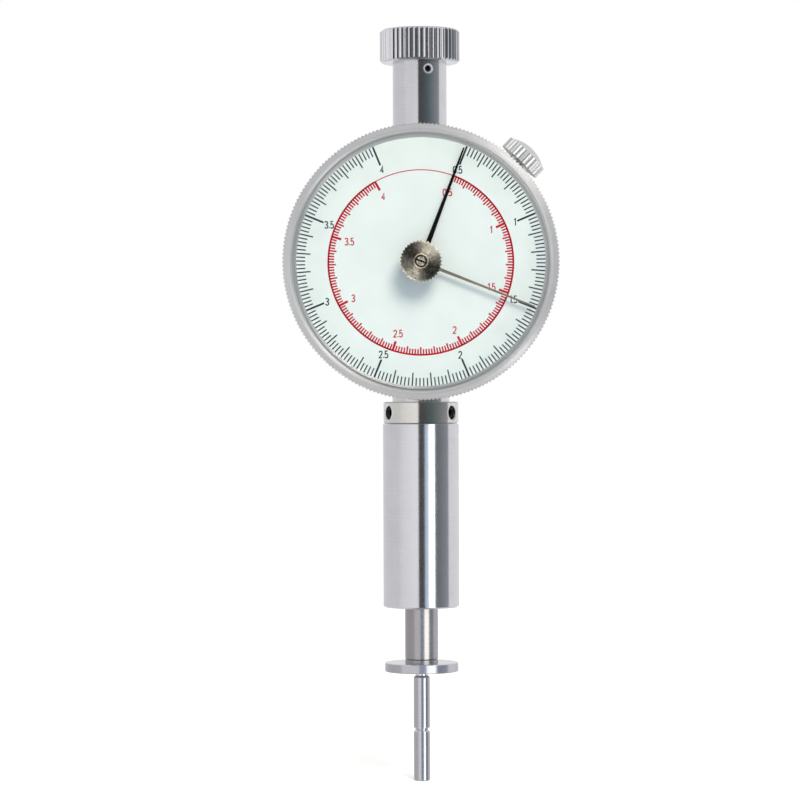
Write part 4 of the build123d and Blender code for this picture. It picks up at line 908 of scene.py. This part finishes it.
# Room: white to the camera; in reflections its front is dim, but for a level band that the barrel mirrors.
# A pair says where a change starts and ends, as a share of a unit direction ahead, to the right or up
ROOM_LEVEL = 0.54
ROOM_COLOUR = (0.9, 1.0, 1.16)
SIDE_LEVEL = 0.9
FRONT_LEVEL = 0.2
FRONT_EDGE = (0.45, 0.8)
BAND_SIDE_LEVEL = 0.88
BAND_FRONT_LEVEL = 1.34
BAND_AHEAD = (0.3, 1.0)
BAND_RIGHT_GAIN = 0.14
BAND_RIGHT = (0.2, 0.7)
BAND_EDGE = (0.1, 0.2)
world = bpy.data.worlds.new("studio")
bpy.context.scene.world = world
world.use_nodes = True
world.cycles.sampling_method = "NONE"
room = Graph(world.node_tree)
way = room.split(room.coordinates("Generated"))
ahead = room.math("MULTIPLY", way["Y"], -1.0)
front = room.spread(ahead, SIDE_LEVEL, FRONT_LEVEL, *FRONT_EDGE)
band_ahead = room.spread(ahead, BAND_SIDE_LEVEL, BAND_FRONT_LEVEL, *BAND_AHEAD)
band = room.math("ADD", band_ahead, room.spread(way["X"], 0.0, BAND_RIGHT_GAIN, *BAND_RIGHT))
mirrored = room.spread(room.math("ABSOLUTE", way["Z"]), band, front, *BAND_EDGE)
path = room.node("ShaderNodeLightPath").outputs
lit = room.between(path["Is Camera Ray"], ROOM_LEVEL, 1.0)
reflected = room.math("MAXIMUM", path["Is Glossy Ray"], path["Is Transmission Ray"])
level = room.between(reflected, lit, mirrored)
tone = room.blend(path["Is Diffuse Ray"], (*WHITE, 1.0), (*ROOM_COLOUR, 1.0))
background = room.tree.nodes["Background"]
room.feed_all((background.inputs["Color"], background.inputs["Strength"]), (tone, level))

# Floor: as white as the room to the camera, and shaded under the object; a warm glow greys the shadow
FLOOR_HALF = 3.0
FLOOR_DROP = 0.05 * MM
FLOOR_ROUGHNESS = 0.9
FLOOR_GLOW = 0.4
FLOOR_TINT = (1.16, 1.075, 0.94)
paper = Look("floor_paper", PAPER, 0.0, FLOOR_ROUGHNESS)
paper.drive("Specular IOR Level", 0.0)
paper.drive("Emission Color", (*FLOOR_TINT, 1.0))
seen = paper.node("ShaderNodeLightPath").outputs["Is Camera Ray"]
paper.drive("Emission Strength", paper.math("MULTIPLY", seen, FLOOR_GLOW))
floor_shape = bmesh.new()
bmesh.ops.create_grid(floor_shape, x_segments=2, y_segments=2, size=FLOOR_HALF)
floor = add_mesh("floor", floor_shape, paper.material)
floor.location.z = cad_box[0].z - FLOOR_DROP
floor.visible_glossy = False
floor.visible_shadow = False

# Camera: level with the middle of the tester, in front of the dial, with the photograph's scale at the axis
PHOTO_SIDE = 800
PIXELS_PER_MM = 4.68
SENSOR_WIDTH = 36.0
CAMERA_DISTANCE = 650 * MM
CAMERA_X = -4.46 * MM
CAMERA_Z = 24.6 * MM
CAMERA_ROLL = 0.19
camera_data = bpy.data.cameras.new("camera")
camera_data.sensor_width = SENSOR_WIDTH
camera_data.lens = SENSOR_WIDTH * CAMERA_DISTANCE / (PHOTO_SIDE / PIXELS_PER_MM * MM)
camera = link_in(bpy.data.objects.new("camera", camera_data))
camera.location = (CAMERA_X, -CAMERA_DISTANCE, CAMERA_Z)
camera.rotation_euler = (pi / 2, radians(CAMERA_ROLL), 0)
bpy.context.scene.camera = camera

bpy.context.scene.view_settings.view_transform = "Standard"
